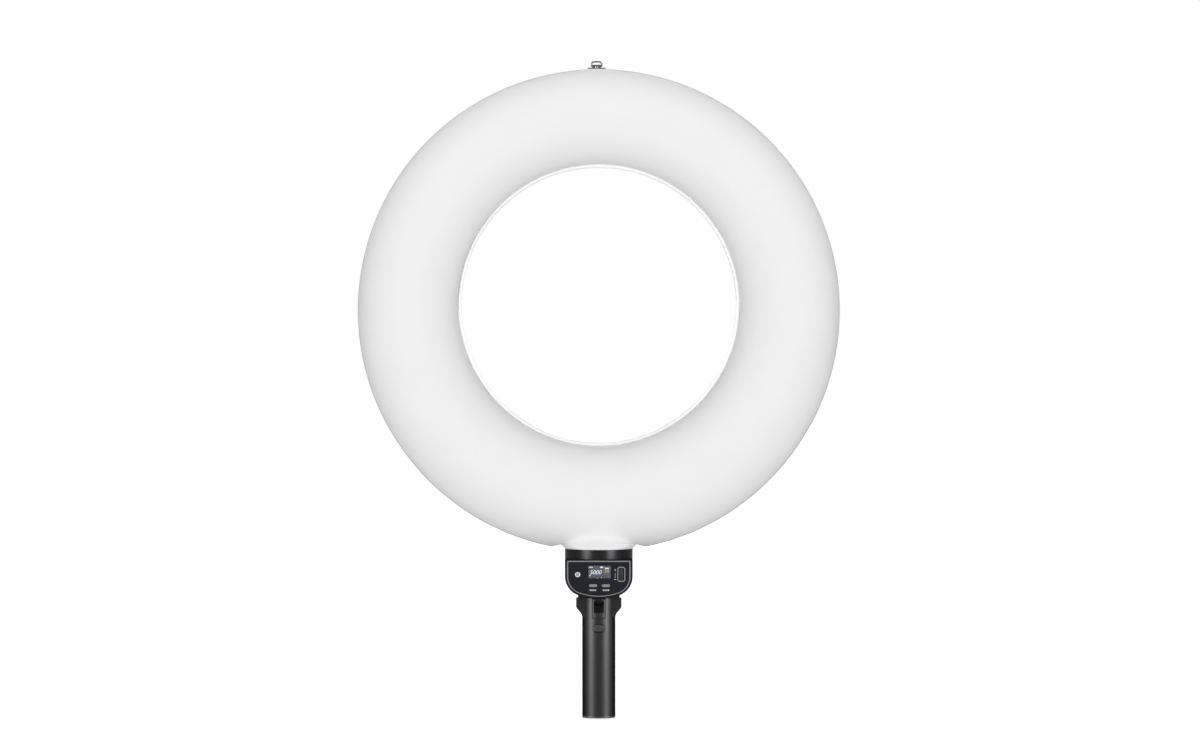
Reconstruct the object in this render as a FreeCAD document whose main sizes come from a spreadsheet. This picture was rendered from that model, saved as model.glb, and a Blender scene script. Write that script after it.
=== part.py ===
import FreeCAD, Part
import math
import os
import Sketcher

# LED ring light with a fabric ring, a control head and a battery grip.
# Millimetres. +Z is up, the light shines towards -Y, and the origin is the
# middle of the grip's underside, at the mouth of the stand thread.

V = FreeCAD.Vector

SIZES = {
    # Fabric ring
    "ring_radius": 241.0,  # outer edge of the fabric
    "ring_sink": 2.9,  # how far the fabric's circle reaches below the collar's top
    "hole_radius": 141.3,  # edge of the fabric at the hole
    "hole_lift": 5.1,  # the hole's centre lies this far above the outer edge's
    "ring_half_depth": 46.5,
    "seam_half_width": 0.5,  # flat band at the outer edge, where the halves are sewn
    "cover_wall": 1.0,
    "soft_gap": 0.3,  # room between the fabric and what lies beside it
    "rim_depth": 3.7,  # white rim seen round the hole, along its radius
    "rim_half_width": 4.5,
    "inner_frame_depth": 3.0,
    "inner_frame_half_width": 6.0,
    "hoop_wire": 2.5,  # radius of the outer hoop's rod
    # Lamp ring
    "carrier_half_width": 15.0,
    "carrier_plate": 2.0,
    "carrier_lip": 1.6,
    "carrier_lip_height": 4.5,
    "rib_half_depth": 2.5,
    "rib_width": 6.0,
    "board_half_width": 12.0,
    "board_thickness": 1.6,
    "lamp_size": 3.0,
    "lamp_height": 1.0,
    "lamp_row": 4.5,  # rows lie this far either side of the channel's middle
    # Neck
    "neck_half_width": 39.5,
    "neck_half_depth": 17.5,
    "saddle_half_width": 38.4,
    "saddle_half_depth": 45.6,
    "saddle_height": 6.5,
    "skirt_height": 6.0,
    "collar_half_width": 33.9,
    "collar_half_depth": 47.0,
    "collar_height": 9.7,
    "collar_wall": 2.4,
    "foot_half_width": 24.0,
    "foot_half_depth": 13.0,
    "foot_height": 3.0,
    "foot_screw_side": 6.5,  # from the foot's sides
    "foot_screw_end": 5.0,
    "cable_radius": 1.6,
    "cable_hole": 2.4,
    "cable_y": -7.0,
    "screw_radius": 1.5,
    "screw_head": 2.8,
    "screw_head_height": 1.8,
    "boss_height": 6.0,
    "passage_gap": 1.2,
    "lead_bend": 6.0,
    "lead_rise": 12.0,  # height over which the lead steps forward
    "cable_plug_half_width": 4.0,
    "cable_plug_height": 6.0,
    "plug_reach": 4.0,
    "post_half_width": 13.0,
    "post_half_depth": 11.0,
    "post_rise": 10.0,  # above the collar
    "arm_rise": 10.0,  # past the middle of the lamp channel
    "arm_depth": 5.0,
    # Hanger
    "hanger_x": -2.2,
    "hanger_plate_width": 18.0,
    "hanger_plate_depth": 13.0,
    "hanger_plate_height": 1.0,
    "hanger_block_half_width": 8.0,
    "hanger_block_edge": 2.0,
    "hanger_block_depth": 5.0,  # below the outer hoop
    "rivet_head": 0.9,  # how far a rivet's head stands out round its stem
    "hanger_rivet": 1.2,
    "hanger_rivet_y": 4.4,
    "knuckle_radius": 1.7,
    "knuckle_width": 8.4,
    "bail_wire": 0.8,
    "bail_width": 11.9,
    "bail_height": 5.4,  # from its hinge line to its top
    # Control head
    "head_height": 39.7,  # from the grip's top to the head's
    "head_half_width": 33.6,
    "head_corner": 19.8,
    "head_corner_drop": 16.5,  # from the head's top
    "head_sweep": 62.4,  # radius of the wide curve underneath
    "head_front": 47.5,
    "head_back": 44.0,
    "head_wall": 2.2,
    "head_front_wall": 3.0,
    "shell_edge": 0.8,
    "recess_inset": 2.2,
    "recess_top_inset": 1.0,
    "recess_depth": 1.4,
    "trim_width": 1.1,
    "trim_taper": 0.4,  # how much thinner the line is underneath
    "trim_proud": 0.1,
    "button_edge": 0.3,
    "panel_thickness": 1.2,
    "fit_gap": 0.1,
    "running_gap": 0.05,
    "screen_x": 0.85,
    "screen_drop": 12.15,
    "screen_width": 22.2,
    "screen_height": 12.2,
    "power_x": -20.9,
    "power_drop": 14.7,
    "power_radius": 3.05,
    "key_left_x": -5.75,
    "key_right_x": 7.15,
    "key_drop": 25.6,
    "key_width": 7.9,
    "key_height": 2.8,
    "button_proud": 0.35,
    "button_travel": 0.6,
    "button_flange": 1.0,
    "dial_x": 22.3,
    "dial_drop": 14.3,
    "dial_radius": 11.5,
    "dial_width": 4.0,
    "dial_proud": 0.5,
    "dial_axle": 1.0,
    "bezel_width": 7.9,
    "bezel_height": 14.9,
    "bezel_line": 0.95,
    "bezel_corner": 1.6,
    "dial_groove": 0.45,
    "dial_side_gap": 0.5,
    "bracket_wall": 1.6,
    "bracket_seat": 3.0,
    "bracket_half_height": 3.5,
    "bracket_room": 0.6,  # behind the wheel
    "window_thickness": 0.8,
    "module_margin": 2.5,
    "module_depth": 3.0,
    "control_board_y": -40.4,
    "control_board_thickness": 1.6,
    "switch_half_width": 2.2,
    "switch_height": 1.8,
    "switch_plunger": 0.9,
    "small_boss": 2.2,
    "small_screw": 1.0,
    "small_screw_head": 1.9,
    "small_screw_length": 5.0,
    "small_screw_head_height": 1.2,
    "shell_boss": 3.6,
    "shell_boss_front": 14.0,
    "shell_screw_sink": 6.0,
    "upper_post_side": 5.6,  # the shell screws' places, from the head's sides and top
    "upper_post_drop": 5.5,
    "lower_post_side": 9.4,
    "lower_post_drop": 11.3,  # below the head's round corners
    "dock_screw_side": 3.5,
    "dock_screw_end": 3.0,
    "dock_screw_length": 12.0,
    "dock_seat_height": 2.0,
    "driver_board_drop": 29.3,
    "driver_board_half_width": 19.5,
    "driver_board_front": -20.0,
    "driver_board_back": 39.0,
    "driver_screw_side": 3.5,
    "driver_screw_front": 4.0,
    "driver_screw_back": 33.0,
    "driver_stand_foot": 1.1,
    "driver_pilot_depth": 4.0,
    "sink_half_width": 11.0,
    "sink_height": 18.4,
    "sink_base": 3.0,
    "sink_front": 8.0,
    "sink_back": 28.0,
    "sink_fin": 1.2,
    "usb_half_width": 4.5,
    "usb_height": 3.2,
    "usb_depth": 7.3,
    "usb_wall": 0.3,
    "usb_recess": 0.4,
    "usb_tongue": 0.7,
    "inductor_radius": 5.0,
    "inductor_height": 7.0,
    "inductor_x": 12.0,
    "inductor_y": -8.0,
    "capacitor_radius": 3.0,
    "capacitor_height": 9.0,
    "capacitor_x": 3.4,
    "capacitor_y": -14.5,
    "vent_width": 2.0,
    "vent_height": 12.0,
    "vent_pitch": 5.0,
    "vent_drop": 6.0,
    # Grip
    "grip_radius": 16.6,
    "grip_wall": 2.0,
    "grip_space": 35.0,  # from the battery board to the grip's top
    "wing_half_width": 22.7,
    "wing_half_depth": 11.0,
    "wing_height": 8.6,
    "wing_bevel": 1.0,
    "wing_bevel_height": 1.7,
    "flare_width": 1.8,
    "flare_height": 4.9,
    "flare_drop": 5.6,  # from the wings to the top of the curve
    "dock_depth": 15.6,  # from the grip's top to the hollow for the battery
    "dock_flange_half_width": 20.8,
    "plug_half_width": 13.5,
    "plug_half_depth": 7.0,
    "plug_drop": 12.6,
    "dock_flange_height": 5.0,
    "dock_wall": 1.6,
    "dock_floor": 1.6,
    "tooth_reach": 13.4,
    "tooth_drop": 0.8,  # below the top of the latch's window
    "tooth_height": 4.7,
    "tooth_tip": 1.4,
    "tooth_side": 0.85,
    "contact_half_width": 1.0,
    "contact_half_length": 3.0,
    "contact_thickness": 0.4,
    "contact_pin": 0.7,
    "skirt_half_width": 8.0,
    "contact_pitch": 4.5,
    "receptacle_skirt_front": -6.0,
    "flare_bend": 8.0,
    "wing_edge": 0.8,
    "cap_height": 2.0,
    "cap_plug_height": 7.0,
    "cap_edge": 0.8,
    # Latch
    "latch_half_width": 6.2,
    "latch_drop": 0.9,  # from the grip's top to the tab's
    "latch_tab_height": 18.45,
    "latch_thickness": 1.6,
    "latch_depth": 3.9,
    "latch_window_half_width": 5.05,
    "latch_window_drop": 1.4,  # from the tab's top
    "latch_window_height": 12.1,
    "latch_pivot_y": -12.2,
    "latch_pivot_drop": 22.6,  # from the grip's top
    "latch_pin": 1.0,
    "latch_side_gap": 0.6,
    "latch_swing_gap": 0.7,
    "spring_radius": 2.2,
    "spring_wire": 0.35,
    "pad_drop": 29.8,
    "pad_width": 11.4,
    "pad_height": 7.6,
    "pad_proud": 0.3,
    # Battery and stand thread
    "cell_radius": 10.6,
    "cell_length": 70.0,
    "cell_bottom": 12.6,
    "cell_nub": 3.5,
    "cell_nub_height": 0.4,
    "battery_board_thickness": 1.6,
    "thread_radius": 3.2,
    "insert_radius": 6.0,
    "insert_length": 8.4,
}

doc = FreeCAD.newDocument("RingLight")
sheet = doc.addObject("Spreadsheet::Sheet", "Sizes")


class Size:
    """A length together with the sheet formula that it comes from."""

    def __init__(self, value, formula):
        self.value = value
        self.formula = formula

    def __add__(self, other):
        other = size(other)
        return Size(self.value + other.value, f"({self.formula} + {other.formula})")

    def __sub__(self, other):
        other = size(other)
        return Size(self.value - other.value, f"({self.formula} - {other.formula})")

    def __mul__(self, other):
        other = size(other)
        return Size(self.value * other.value, f"({self.formula} * {other.formula})")

    def __truediv__(self, other):
        other = size(other)
        return Size(self.value / other.value, f"({self.formula} / {other.formula})")

    def __neg__(self):
        return Size(-self.value, f"(0 - {self.formula})")

    def __rsub__(self, other):
        return size(other) - self

    __radd__ = __add__
    __rmul__ = __mul__


def size(amount):
    if isinstance(amount, Size):
        return amount
    return Size(float(amount), f"({float(amount)!r})")


def root(amount):
    return Size(math.sqrt(amount.value), f"sqrt({amount.formula})")


def least(first, second):
    first = size(first)
    second = size(second)
    return Size(min(first.value, second.value), f"min({first.formula}; {second.formula})")


class Sheet:
    """Reads each driving size by its name."""

    def __getattr__(self, name):
        return Size(SIZES[name], f"Sizes.{name}")


for row, (name, number) in enumerate(SIZES.items(), start=1):
    sheet.set(f"A{row}", name.replace("_", " "))
    sheet.set(f"B{row}", str(number))
    sheet.setAlias(f"B{row}", name)
doc.recompute()
S = Sheet()

TURNED = {
    "X": FreeCAD.Rotation(V(0, 1, 0), 90),
    "Y": FreeCAD.Rotation(V(1, 0, 0), -90),
    "Z": FreeCAD.Rotation(),
}
# How far along its own axis a sketch plane is moved to reach a coordinate.
PLANE_SIGN = {"XY": 1, "XZ": -1, "YZ": 1}
PARTS = []
LAMPS_PER_ROW = 48
RIBS = 8
VENTS = 7
DIAL_RIBS = 36
SINK_FINS = 6
DOCK_CONTACTS = 5


def bind(thing, prop, amount):
    thing.setExpression(prop, size(amount).formula)


def move(thing, x, y, z):
    for letter, amount in zip("xyz", (x, y, z)):
        bind(thing, f".Placement.Base.{letter}", amount)
    return thing


def box(name, x, y, z):
    """A block between pairs of low and high coordinates."""
    block = doc.addObject("Part::Box", name)
    for prop, (low, high) in zip(("Length", "Width", "Height"), (x, y, z)):
        bind(block, prop, size(high) - low)
    return move(block, x[0], y[0], z[0])


def both(half):
    return (-half, half)


def rod(name, radius, axis, centre, span):
    """A cylinder along an axis; centre gives the two other coordinates."""
    piece = doc.addObject("Part::Cylinder", name)
    piece.Placement = FreeCAD.Placement(V(), TURNED[axis])
    bind(piece, "Radius", radius)
    bind(piece, "Height", size(span[1]) - span[0])
    where = list(centre)
    where.insert("XYZ".index(axis), span[0])
    return move(piece, *where)


def join(name, *pieces):
    piece = doc.addObject("Part::MultiFuse", name)
    piece.Shapes = list(pieces)
    return piece


def cut(name, base, *tools):
    tool = tools[0]
    if len(tools) > 1:
        tool = join(f"{name}_tools", *tools)
    piece = doc.addObject("Part::Cut", name)
    piece.Base = base
    piece.Tool = tool
    return piece


def common(name, first, second):
    piece = doc.addObject("Part::Common", name)
    piece.Base = first
    piece.Tool = second
    return piece


def group(name, pieces):
    """Separate solids that share one node."""
    piece = doc.addObject("Part::Compound", name)
    piece.Links = list(pieces)
    return piece


def subpart(label, piece):
    piece.Label = label
    PARTS.append(piece)
    return piece


def oval(name, half_x, half_y, z):
    """An oval line, longer along Y."""
    line = doc.addObject("Part::Ellipse", name)
    line.Placement = FreeCAD.Placement(V(), FreeCAD.Rotation(V(0, 0, 1), 90))
    bind(line, "MajorRadius", half_y)
    bind(line, "MinorRadius", half_x)
    return move(line, 0, 0, z)


def oval_block(name, half_x, half_y, z):
    piece = doc.addObject("Part::Extrusion", name)
    piece.Base = oval(f"{name}_line", half_x, half_y, z[0])
    piece.DirMode = "Custom"
    piece.Dir = V(0, 0, 1)
    bind(piece, "LengthFwd", size(z[1]) - z[0])
    piece.Solid = True
    return piece


def rectangle(x, y):
    return [(x[0], y[0]), (x[1], y[0]), (x[1], y[1]), (x[0], y[1])]


def slot(x, y, width, height):
    """A flat-sided slot with round ends, its length along the first axis."""
    end = size(height) / 2
    reach = size(width) / 2 - end
    return [
        (x - reach, y - end),
        (x + reach, y - end, end),
        (x + reach + end, y, end),
        (x + reach, y + end),
        (x - reach, y + end, end),
        (x - reach - end, y, end),
    ]


class Body:
    """A body made of sketches on its own origin planes."""

    def __init__(self, name):
        self.name = name
        self.body = doc.addObject("PartDesign::Body", name)
        self.count = 0

    def sketch(self, plane, loops, at, lift):
        self.count += 1
        drawing = self.body.newObject("Sketcher::SketchObject", f"{self.name}_sketch_{self.count}")
        origin = self.body.Origin.OriginFeatures
        drawing.AttachmentSupport = [([p for p in origin if p.Role == f"{plane}_Plane"][0], "")]
        drawing.MapMode = "FlatFace"
        bind(drawing, ".AttachmentOffset.Base.z", size(at) * PLANE_SIGN[plane])
        bind(drawing, ".AttachmentOffset.Base.y", lift)
        for loop in loops:
            self.draw(drawing, loop)
        return drawing

    def fix(self, drawing, kind, amount, *where):
        number = drawing.addConstraint(Sketcher.Constraint(kind, *where, size(amount).value))
        bind(drawing, f"Constraints[{number}]", amount)

    def draw(self, drawing, loop):
        """A closed outline, anticlockwise. A third number rounds the edge that follows a
        corner: outwards if it is positive, inwards if it is negative."""
        if loop[0] == "circle":
            x, y, radius = loop[1:]
            centre = V(size(x).value, size(y).value, 0)
            edge = drawing.addGeometry(Part.Circle(centre, V(0, 0, 1), size(radius).value), False)
            self.fix(drawing, "Radius", radius, edge)
            self.fix(drawing, "DistanceX", x, -1, 1, edge, 3)
            self.fix(drawing, "DistanceY", y, -1, 1, edge, 3)
            return
        spots = [V(size(c[0]).value, size(c[1]).value, 0) for c in loop]
        edges = []
        for number, corner in enumerate(loop):
            start = spots[number]
            end = spots[(number + 1) % len(loop)]
            if len(corner) == 2:
                line = drawing.addGeometry(Part.LineSegment(start, end), False)
                edges.append((line, 1, 2))
                continue
            radius = size(corner[2]).value
            chord = end - start
            side = V(-chord.y, chord.x, 0).normalize() * math.copysign(1, radius)
            centre = (start + end) * 0.5 + side * math.sqrt(radius**2 - (chord.Length / 2) ** 2)
            circle = Part.Circle(centre, V(0, 0, 1), abs(radius))
            if radius < 0:
                start, end = end, start
            first = math.atan2(start.y - centre.y, start.x - centre.x)
            last = math.atan2(end.y - centre.y, end.x - centre.x)
            arc = drawing.addGeometry(Part.ArcOfCircle(circle, first, last), False)
            edges.append((arc, 1, 2) if radius > 0 else (arc, 2, 1))
        for number, corner in enumerate(loop):
            edge, near, far = edges[number]
            self.fix(drawing, "DistanceX", corner[0], -1, 1, edge, near)
            self.fix(drawing, "DistanceY", corner[1], -1, 1, edge, near)
            after = edges[(number + 1) % len(loop)]
            drawing.addConstraint(Sketcher.Constraint("Coincident", edge, far, after[0], after[1]))
            if len(corner) == 3:
                bend = size(corner[2])
                self.fix(drawing, "Radius", bend if bend.value > 0 else -bend, edge)

    def pad(self, plane, loops, span):
        """Material between two coordinates along the plane's axis."""
        return self.extrude("Pad", plane, loops, span)

    def pocket(self, plane, loops, span):
        """A hollow between two coordinates along the plane's axis."""
        return self.extrude("Pocket", plane, loops, span)

    def extrude(self, kind, plane, loops, span):
        start = span[1] if PLANE_SIGN[plane] < 0 else span[0]
        drawing = self.sketch(plane, loops, start, 0)
        feature = self.body.newObject(f"PartDesign::{kind}", f"{self.name}_{kind}_{self.count}")
        feature.Profile = drawing
        feature.Reversed = kind == "Pocket"
        bind(feature, "Length", size(span[1]) - span[0])
        return self

    def turn(self, kind, loops, centre=0):
        """A shape turned about a line along Y at the height of centre."""
        drawing = self.sketch("YZ", loops, 0, centre)
        feature = self.body.newObject(f"PartDesign::{kind}", f"{self.name}_{kind}_{self.count}")
        feature.Profile = drawing
        feature.ReferenceAxis = (drawing, ["H_Axis"])
        feature.Angle = 360
        return self

    def soften(self, kind, amount, chosen):
        """Rounds or chamfers the edges that the test chooses."""
        doc.recompute()
        base = self.body.Tip
        names = []
        for number, edge in enumerate(base.Shape.Edges, start=1):
            if chosen(edge):
                names.append(f"Edge{number}")
        feature = self.body.newObject(f"PartDesign::{kind}", f"{self.name}_{kind}_{self.count}")
        feature.Base = (base, names)
        bind(feature, "Radius" if kind == "Fillet" else "Size", amount)
        return self


def lies_at(edge, y):
    """Whether an edge lies wholly at one depth."""
    return all(abs(corner.Y - y.value) < 1e-6 for corner in edge.Vertexes)


def screw(name, axis, centre, head, shank):
    """A screw: head and shank are each a radius and a span along the axis."""
    top = rod(f"{name}_head", head[0], axis, centre, head[1])
    stem = rod(f"{name}_shank", shank[0], axis, centre, shank[1])
    return join(name, top, stem)


def ready(name, shape, spot=V(), turn=FreeCAD.Rotation()):
    """A sub-part whose shape is worked out here from the sheet's sizes."""
    piece = doc.addObject("Part::Feature", name)
    piece.Shape = shape
    piece.Placement = FreeCAD.Placement(spot, turn)
    return piece


def pipe(points, bends, radius):
    """A round tube along straight runs joined by tangent arcs."""
    edges = []
    start = points[0]
    for before, corner, after, bend in zip(points, points[1:], points[2:], bends):
        back = (before - corner).normalize()
        forward = (after - corner).normalize()
        turn = math.pi - back.getAngle(forward)
        reach = bend * math.tan(turn / 2)
        leave = corner + back * reach
        arrive = corner + forward * reach
        middle = (back + forward).normalize()
        crown = corner + middle * (bend / math.cos(turn / 2) - bend)
        edges.append(Part.LineSegment(start, leave).toShape())
        edges.append(Part.Arc(leave, crown, arrive).toShape())
        start = arrive
    edges.append(Part.LineSegment(start, points[-1]).toShape())
    path = Part.Wire(edges)
    direction = (points[1] - points[0]).normalize()
    section = Part.Wire(Part.makeCircle(radius, points[0], direction))
    return path.makePipeShell([section], True, False)


def coil(length, radius, wire, turns):
    """A compression spring along Z with its foot at the origin."""
    path = Part.makeHelix(length / turns, length, radius)
    section = Part.Wire(Part.makeCircle(wire, V(radius, 0, 0), V(0, 1, 0)))
    return path.makePipeShell([section], True, True)


def round_ring(name, radius, wire, centre):
    ring = doc.addObject("Part::Torus", name)
    ring.Placement = FreeCAD.Placement(V(), TURNED["Y"])
    bind(ring, "Radius1", radius)
    bind(ring, "Radius2", wire)
    return move(ring, 0, 0, centre)


def donut(name, shrink):
    """The fabric ring's shape, drawn in on every side by the given amount."""
    depth = S.ring_half_depth - shrink
    past = S.ring_half_depth + 2
    bend = COVER_BEND - shrink
    seam = S.ring_half_depth - COVER_BEND
    crest = S.ring_radius - COVER_BEND
    rim = [
        (-depth, 0),
        (depth, 0),
        (depth, crest, bend),
        (seam, crest + bend),
        (-seam, crest + bend, bend),
        (-depth, crest),
    ]
    ring = Body(name)
    ring.turn("Revolution", [rim], RING_CENTRE)
    # The wall at the hole bulges inwards, so its cutter has a waist.
    crest = S.hole_radius + COVER_BEND
    waist = [
        (-past, 0),
        (past, 0),
        (past, crest),
        (depth, crest, -bend),
        (seam, crest - bend),
        (-seam, crest - bend, -bend),
        (-depth, crest),
        (-past, crest),
    ]
    ring.turn("Groove", [waist], HOLE_CENTRE)
    return ring.body


def annulus(name, outer, inner, depth, centre):
    """A flat ring about a line along Y; depth is its span along Y."""
    whole = rod(f"{name}_whole", outer, "Y", (0, centre), depth)
    past = (size(depth[0]) - 1, size(depth[1]) + 1)
    return cut(name, whole, rod(f"{name}_hole", inner, "Y", (0, centre), past))


def turned_block(angle, distance, width, y, centre):
    """A block that points along the ring's radius, at an angle from +X as seen from the front."""
    block = Part.makeBox(distance[1] - distance[0], y[1] - y[0], width)
    block.translate(V(distance[0], y[0], -width / 2))
    block.rotate(V(), V(0, 1, 0), -angle)
    block.translate(V(0, 0, centre))
    return block


# Heights, from the battery upwards
CELL_TOP = S.cell_bottom + S.cell_length
BATTERY_BOARD_BOTTOM = CELL_TOP + S.cell_nub_height
BATTERY_BOARD_TOP = BATTERY_BOARD_BOTTOM + S.battery_board_thickness
GRIP_TOP = BATTERY_BOARD_TOP + S.grip_space
CAVITY_TOP = GRIP_TOP - S.dock_depth
WING_BOTTOM = GRIP_TOP - S.wing_height
PLUG_BOTTOM = GRIP_TOP - S.plug_drop
LATCH_TOP = GRIP_TOP - S.latch_drop
LATCH_BOTTOM = LATCH_TOP - S.latch_tab_height
LATCH_WINDOW_TOP = LATCH_TOP - S.latch_window_drop
LATCH_WINDOW_BOTTOM = LATCH_WINDOW_TOP - S.latch_window_height
LATCH_PIVOT_Z = GRIP_TOP - S.latch_pivot_drop
PAD_Z = GRIP_TOP - S.pad_drop
HEAD_TOP = GRIP_TOP + S.head_height
HEAD_CORNER_Z = HEAD_TOP - S.head_corner_drop
SCREEN_Z = HEAD_TOP - S.screen_drop
POWER_Z = HEAD_TOP - S.power_drop
KEY_Z = HEAD_TOP - S.key_drop
DIAL_Z = HEAD_TOP - S.dial_drop
DRIVER_BOARD_Z = HEAD_TOP - S.driver_board_drop
DRIVER_BOARD_TOP = DRIVER_BOARD_Z + S.board_thickness
COLLAR_TOP = HEAD_TOP + S.collar_height
RING_BOTTOM = COLLAR_TOP - S.ring_sink
RING_CENTRE = RING_BOTTOM + S.ring_radius
RING_TOP = RING_CENTRE + S.ring_radius
HOLE_CENTRE = RING_CENTRE + S.hole_lift

# Radii across the ring
CARRIER_RADIUS = (S.hole_radius + S.ring_radius) / 2
# The wall's bend is as deep as the ring, but never wider than the ring's narrow top.
COVER_BEND = least(
    S.ring_half_depth - S.seam_half_width,
    (S.ring_radius - S.hole_radius - S.hole_lift) / 2,
)

# Levels across the ring, from its back to its front
CHANNEL_BACK = -S.rib_half_depth
CHANNEL_FLOOR = CHANNEL_BACK - S.carrier_plate
BOARD_FRONT = CHANNEL_FLOOR - S.board_thickness
LEAD_Y = BOARD_FRONT - S.plug_reach / 2


# Fabric ring


def make_cover():
    bottom = RING_BOTTOM
    top = RING_TOP
    skin = cut("cover_skin", donut("cover_outside", 0), donut("cover_inside", S.cover_wall))
    opening = slot(0, 0, S.neck_half_width * 2, S.neck_half_depth * 2)
    holes = [Body("cover_opening").pad("XY", [opening], (bottom - 5, bottom + S.ring_half_depth)).body]
    for number, y in enumerate(both(S.hanger_rivet_y)):
        radius = S.hanger_rivet + S.soft_gap
        holes.append(rod(f"cover_rivet_hole_{number}", radius, "Z", (S.hanger_x, y), (top - 20, top + 5)))
    whole = cut("cover_whole", skin, *holes)
    height = (bottom - 10, top + 10)
    wide = both(S.ring_radius + 10)
    front = box("cover_front_half", wide, (-S.ring_half_depth - 5, 0), height)
    back = box("cover_back_half", wide, (0, S.ring_half_depth + 5), height)
    subpart("front_diffuser", common("front_diffuser_shape", whole, front))
    subpart("rear_cover", common("rear_cover_shape", whole, back))


def hoop_radius():
    return S.ring_radius - S.cover_wall - S.soft_gap - S.hoop_wire


def inner_frame_radius():
    """The inner hoop lies inside the fabric, clear of its curved wall."""
    return S.hole_radius + S.cover_wall + S.soft_gap * 2


def hoop_room(name):
    """The space that a piece leaves free round the outer hoop."""
    return round_ring(name, hoop_radius(), S.hoop_wire + S.running_gap, RING_CENTRE)


def make_hoops():
    rim_outer = S.hole_radius - S.soft_gap
    rim_inner = rim_outer - S.rim_depth
    bend = S.rim_depth / 2
    half = S.rim_half_width
    flat = half - bend
    profile = [
        (-flat, rim_inner),
        (flat, rim_inner, bend),
        (half, rim_inner + bend, bend),
        (flat, rim_outer),
        (-flat, rim_outer, bend),
        (-half, rim_inner + bend, bend),
    ]
    subpart("hole_rim", Body("hole_rim_body").turn("Revolution", [profile], HOLE_CENTRE).body)
    inner = inner_frame_radius()
    outer = inner + S.inner_frame_depth
    frame = annulus("inner_frame_shape", outer, inner, both(S.inner_frame_half_width), HOLE_CENTRE)
    subpart("inner_frame_hoop", frame)
    subpart("outer_frame_hoop", round_ring("outer_hoop_shape", hoop_radius(), S.hoop_wire, RING_CENTRE))


def make_ribs():
    centre = RING_CENTRE.value
    frame_outer = (inner_frame_radius() + S.inner_frame_depth).value
    lift = (HOLE_CENTRE - RING_CENTRE).value
    outer = (hoop_radius() - S.hoop_wire - S.running_gap).value
    half = S.rib_half_depth.value
    ribs = []
    for step in range(RIBS):
        angle = (step + 0.5) * 360 / RIBS
        turn = math.radians(angle)
        inner = lift * math.sin(turn) + math.sqrt(frame_outer**2 - (lift * math.cos(turn)) ** 2)
        start = inner + S.soft_gap.value / 2
        ribs.append(turned_block(angle, (start, outer), S.rib_width.value, (-half, half), centre))
    subpart("frame_ribs", ready("frame_ribs_shape", Part.makeCompound(ribs)))


def make_lamps():
    inner = CARRIER_RADIUS - S.carrier_half_width
    outer = CARRIER_RADIUS + S.carrier_half_width
    lip = CHANNEL_FLOOR - S.carrier_lip_height
    profile = [
        (lip, inner),
        (CHANNEL_BACK, inner),
        (CHANNEL_BACK, outer),
        (lip, outer),
        (lip, outer - S.carrier_lip),
        (CHANNEL_FLOOR, outer - S.carrier_lip),
        (CHANNEL_FLOOR, inner + S.carrier_lip),
        (lip, inner + S.carrier_lip),
    ]
    channel = Body("lamp_channel_body").turn("Revolution", [profile], RING_CENTRE).body
    bottom = RING_CENTRE - outer
    notch_span = (bottom - 1, bottom + S.carrier_lip + 1)
    notch = rod("channel_notch", S.cable_radius + S.soft_gap, "Z", (0, LEAD_Y), notch_span)
    subpart("lamp_channel", cut("lamp_channel_shape", channel, notch))
    near = CARRIER_RADIUS - S.board_half_width
    far = CARRIER_RADIUS + S.board_half_width
    ring = annulus("board_ring", far, near, (BOARD_FRONT, CHANNEL_FLOOR), RING_CENTRE)
    seam = S.soft_gap / 2
    past = S.ring_radius
    sides = {"right": (seam, past), "left": (-past, -seam)}
    levels = {"upper": (RING_CENTRE + seam, RING_CENTRE + past), "lower": (0, RING_CENTRE - seam)}
    depth = (BOARD_FRONT - 1, CHANNEL_FLOOR + 1)
    for level, height in levels.items():
        for side, width in sides.items():
            name = f"lamp_board_{level}_{side}"
            quarter = box(f"{name}_quarter", width, depth, height)
            subpart(name, common(f"{name}_shape", ring, quarter))
    half = S.lamp_size.value / 2
    depth = ((BOARD_FRONT - S.lamp_height).value, BOARD_FRONT.value)
    rows = {"warm_lamps": CARRIER_RADIUS - S.lamp_row, "cool_lamps": CARRIER_RADIUS + S.lamp_row}
    for name, radius in rows.items():
        reach = (radius.value - half, radius.value + half)
        lamps = []
        for step in range(LAMPS_PER_ROW):
            angle = (step + 0.5) * 360 / LAMPS_PER_ROW
            lamps.append(turned_block(angle, reach, 2 * half, depth, RING_CENTRE.value))
        subpart(name, ready(f"{name}_shape", Part.makeCompound(lamps)))


# Neck


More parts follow.
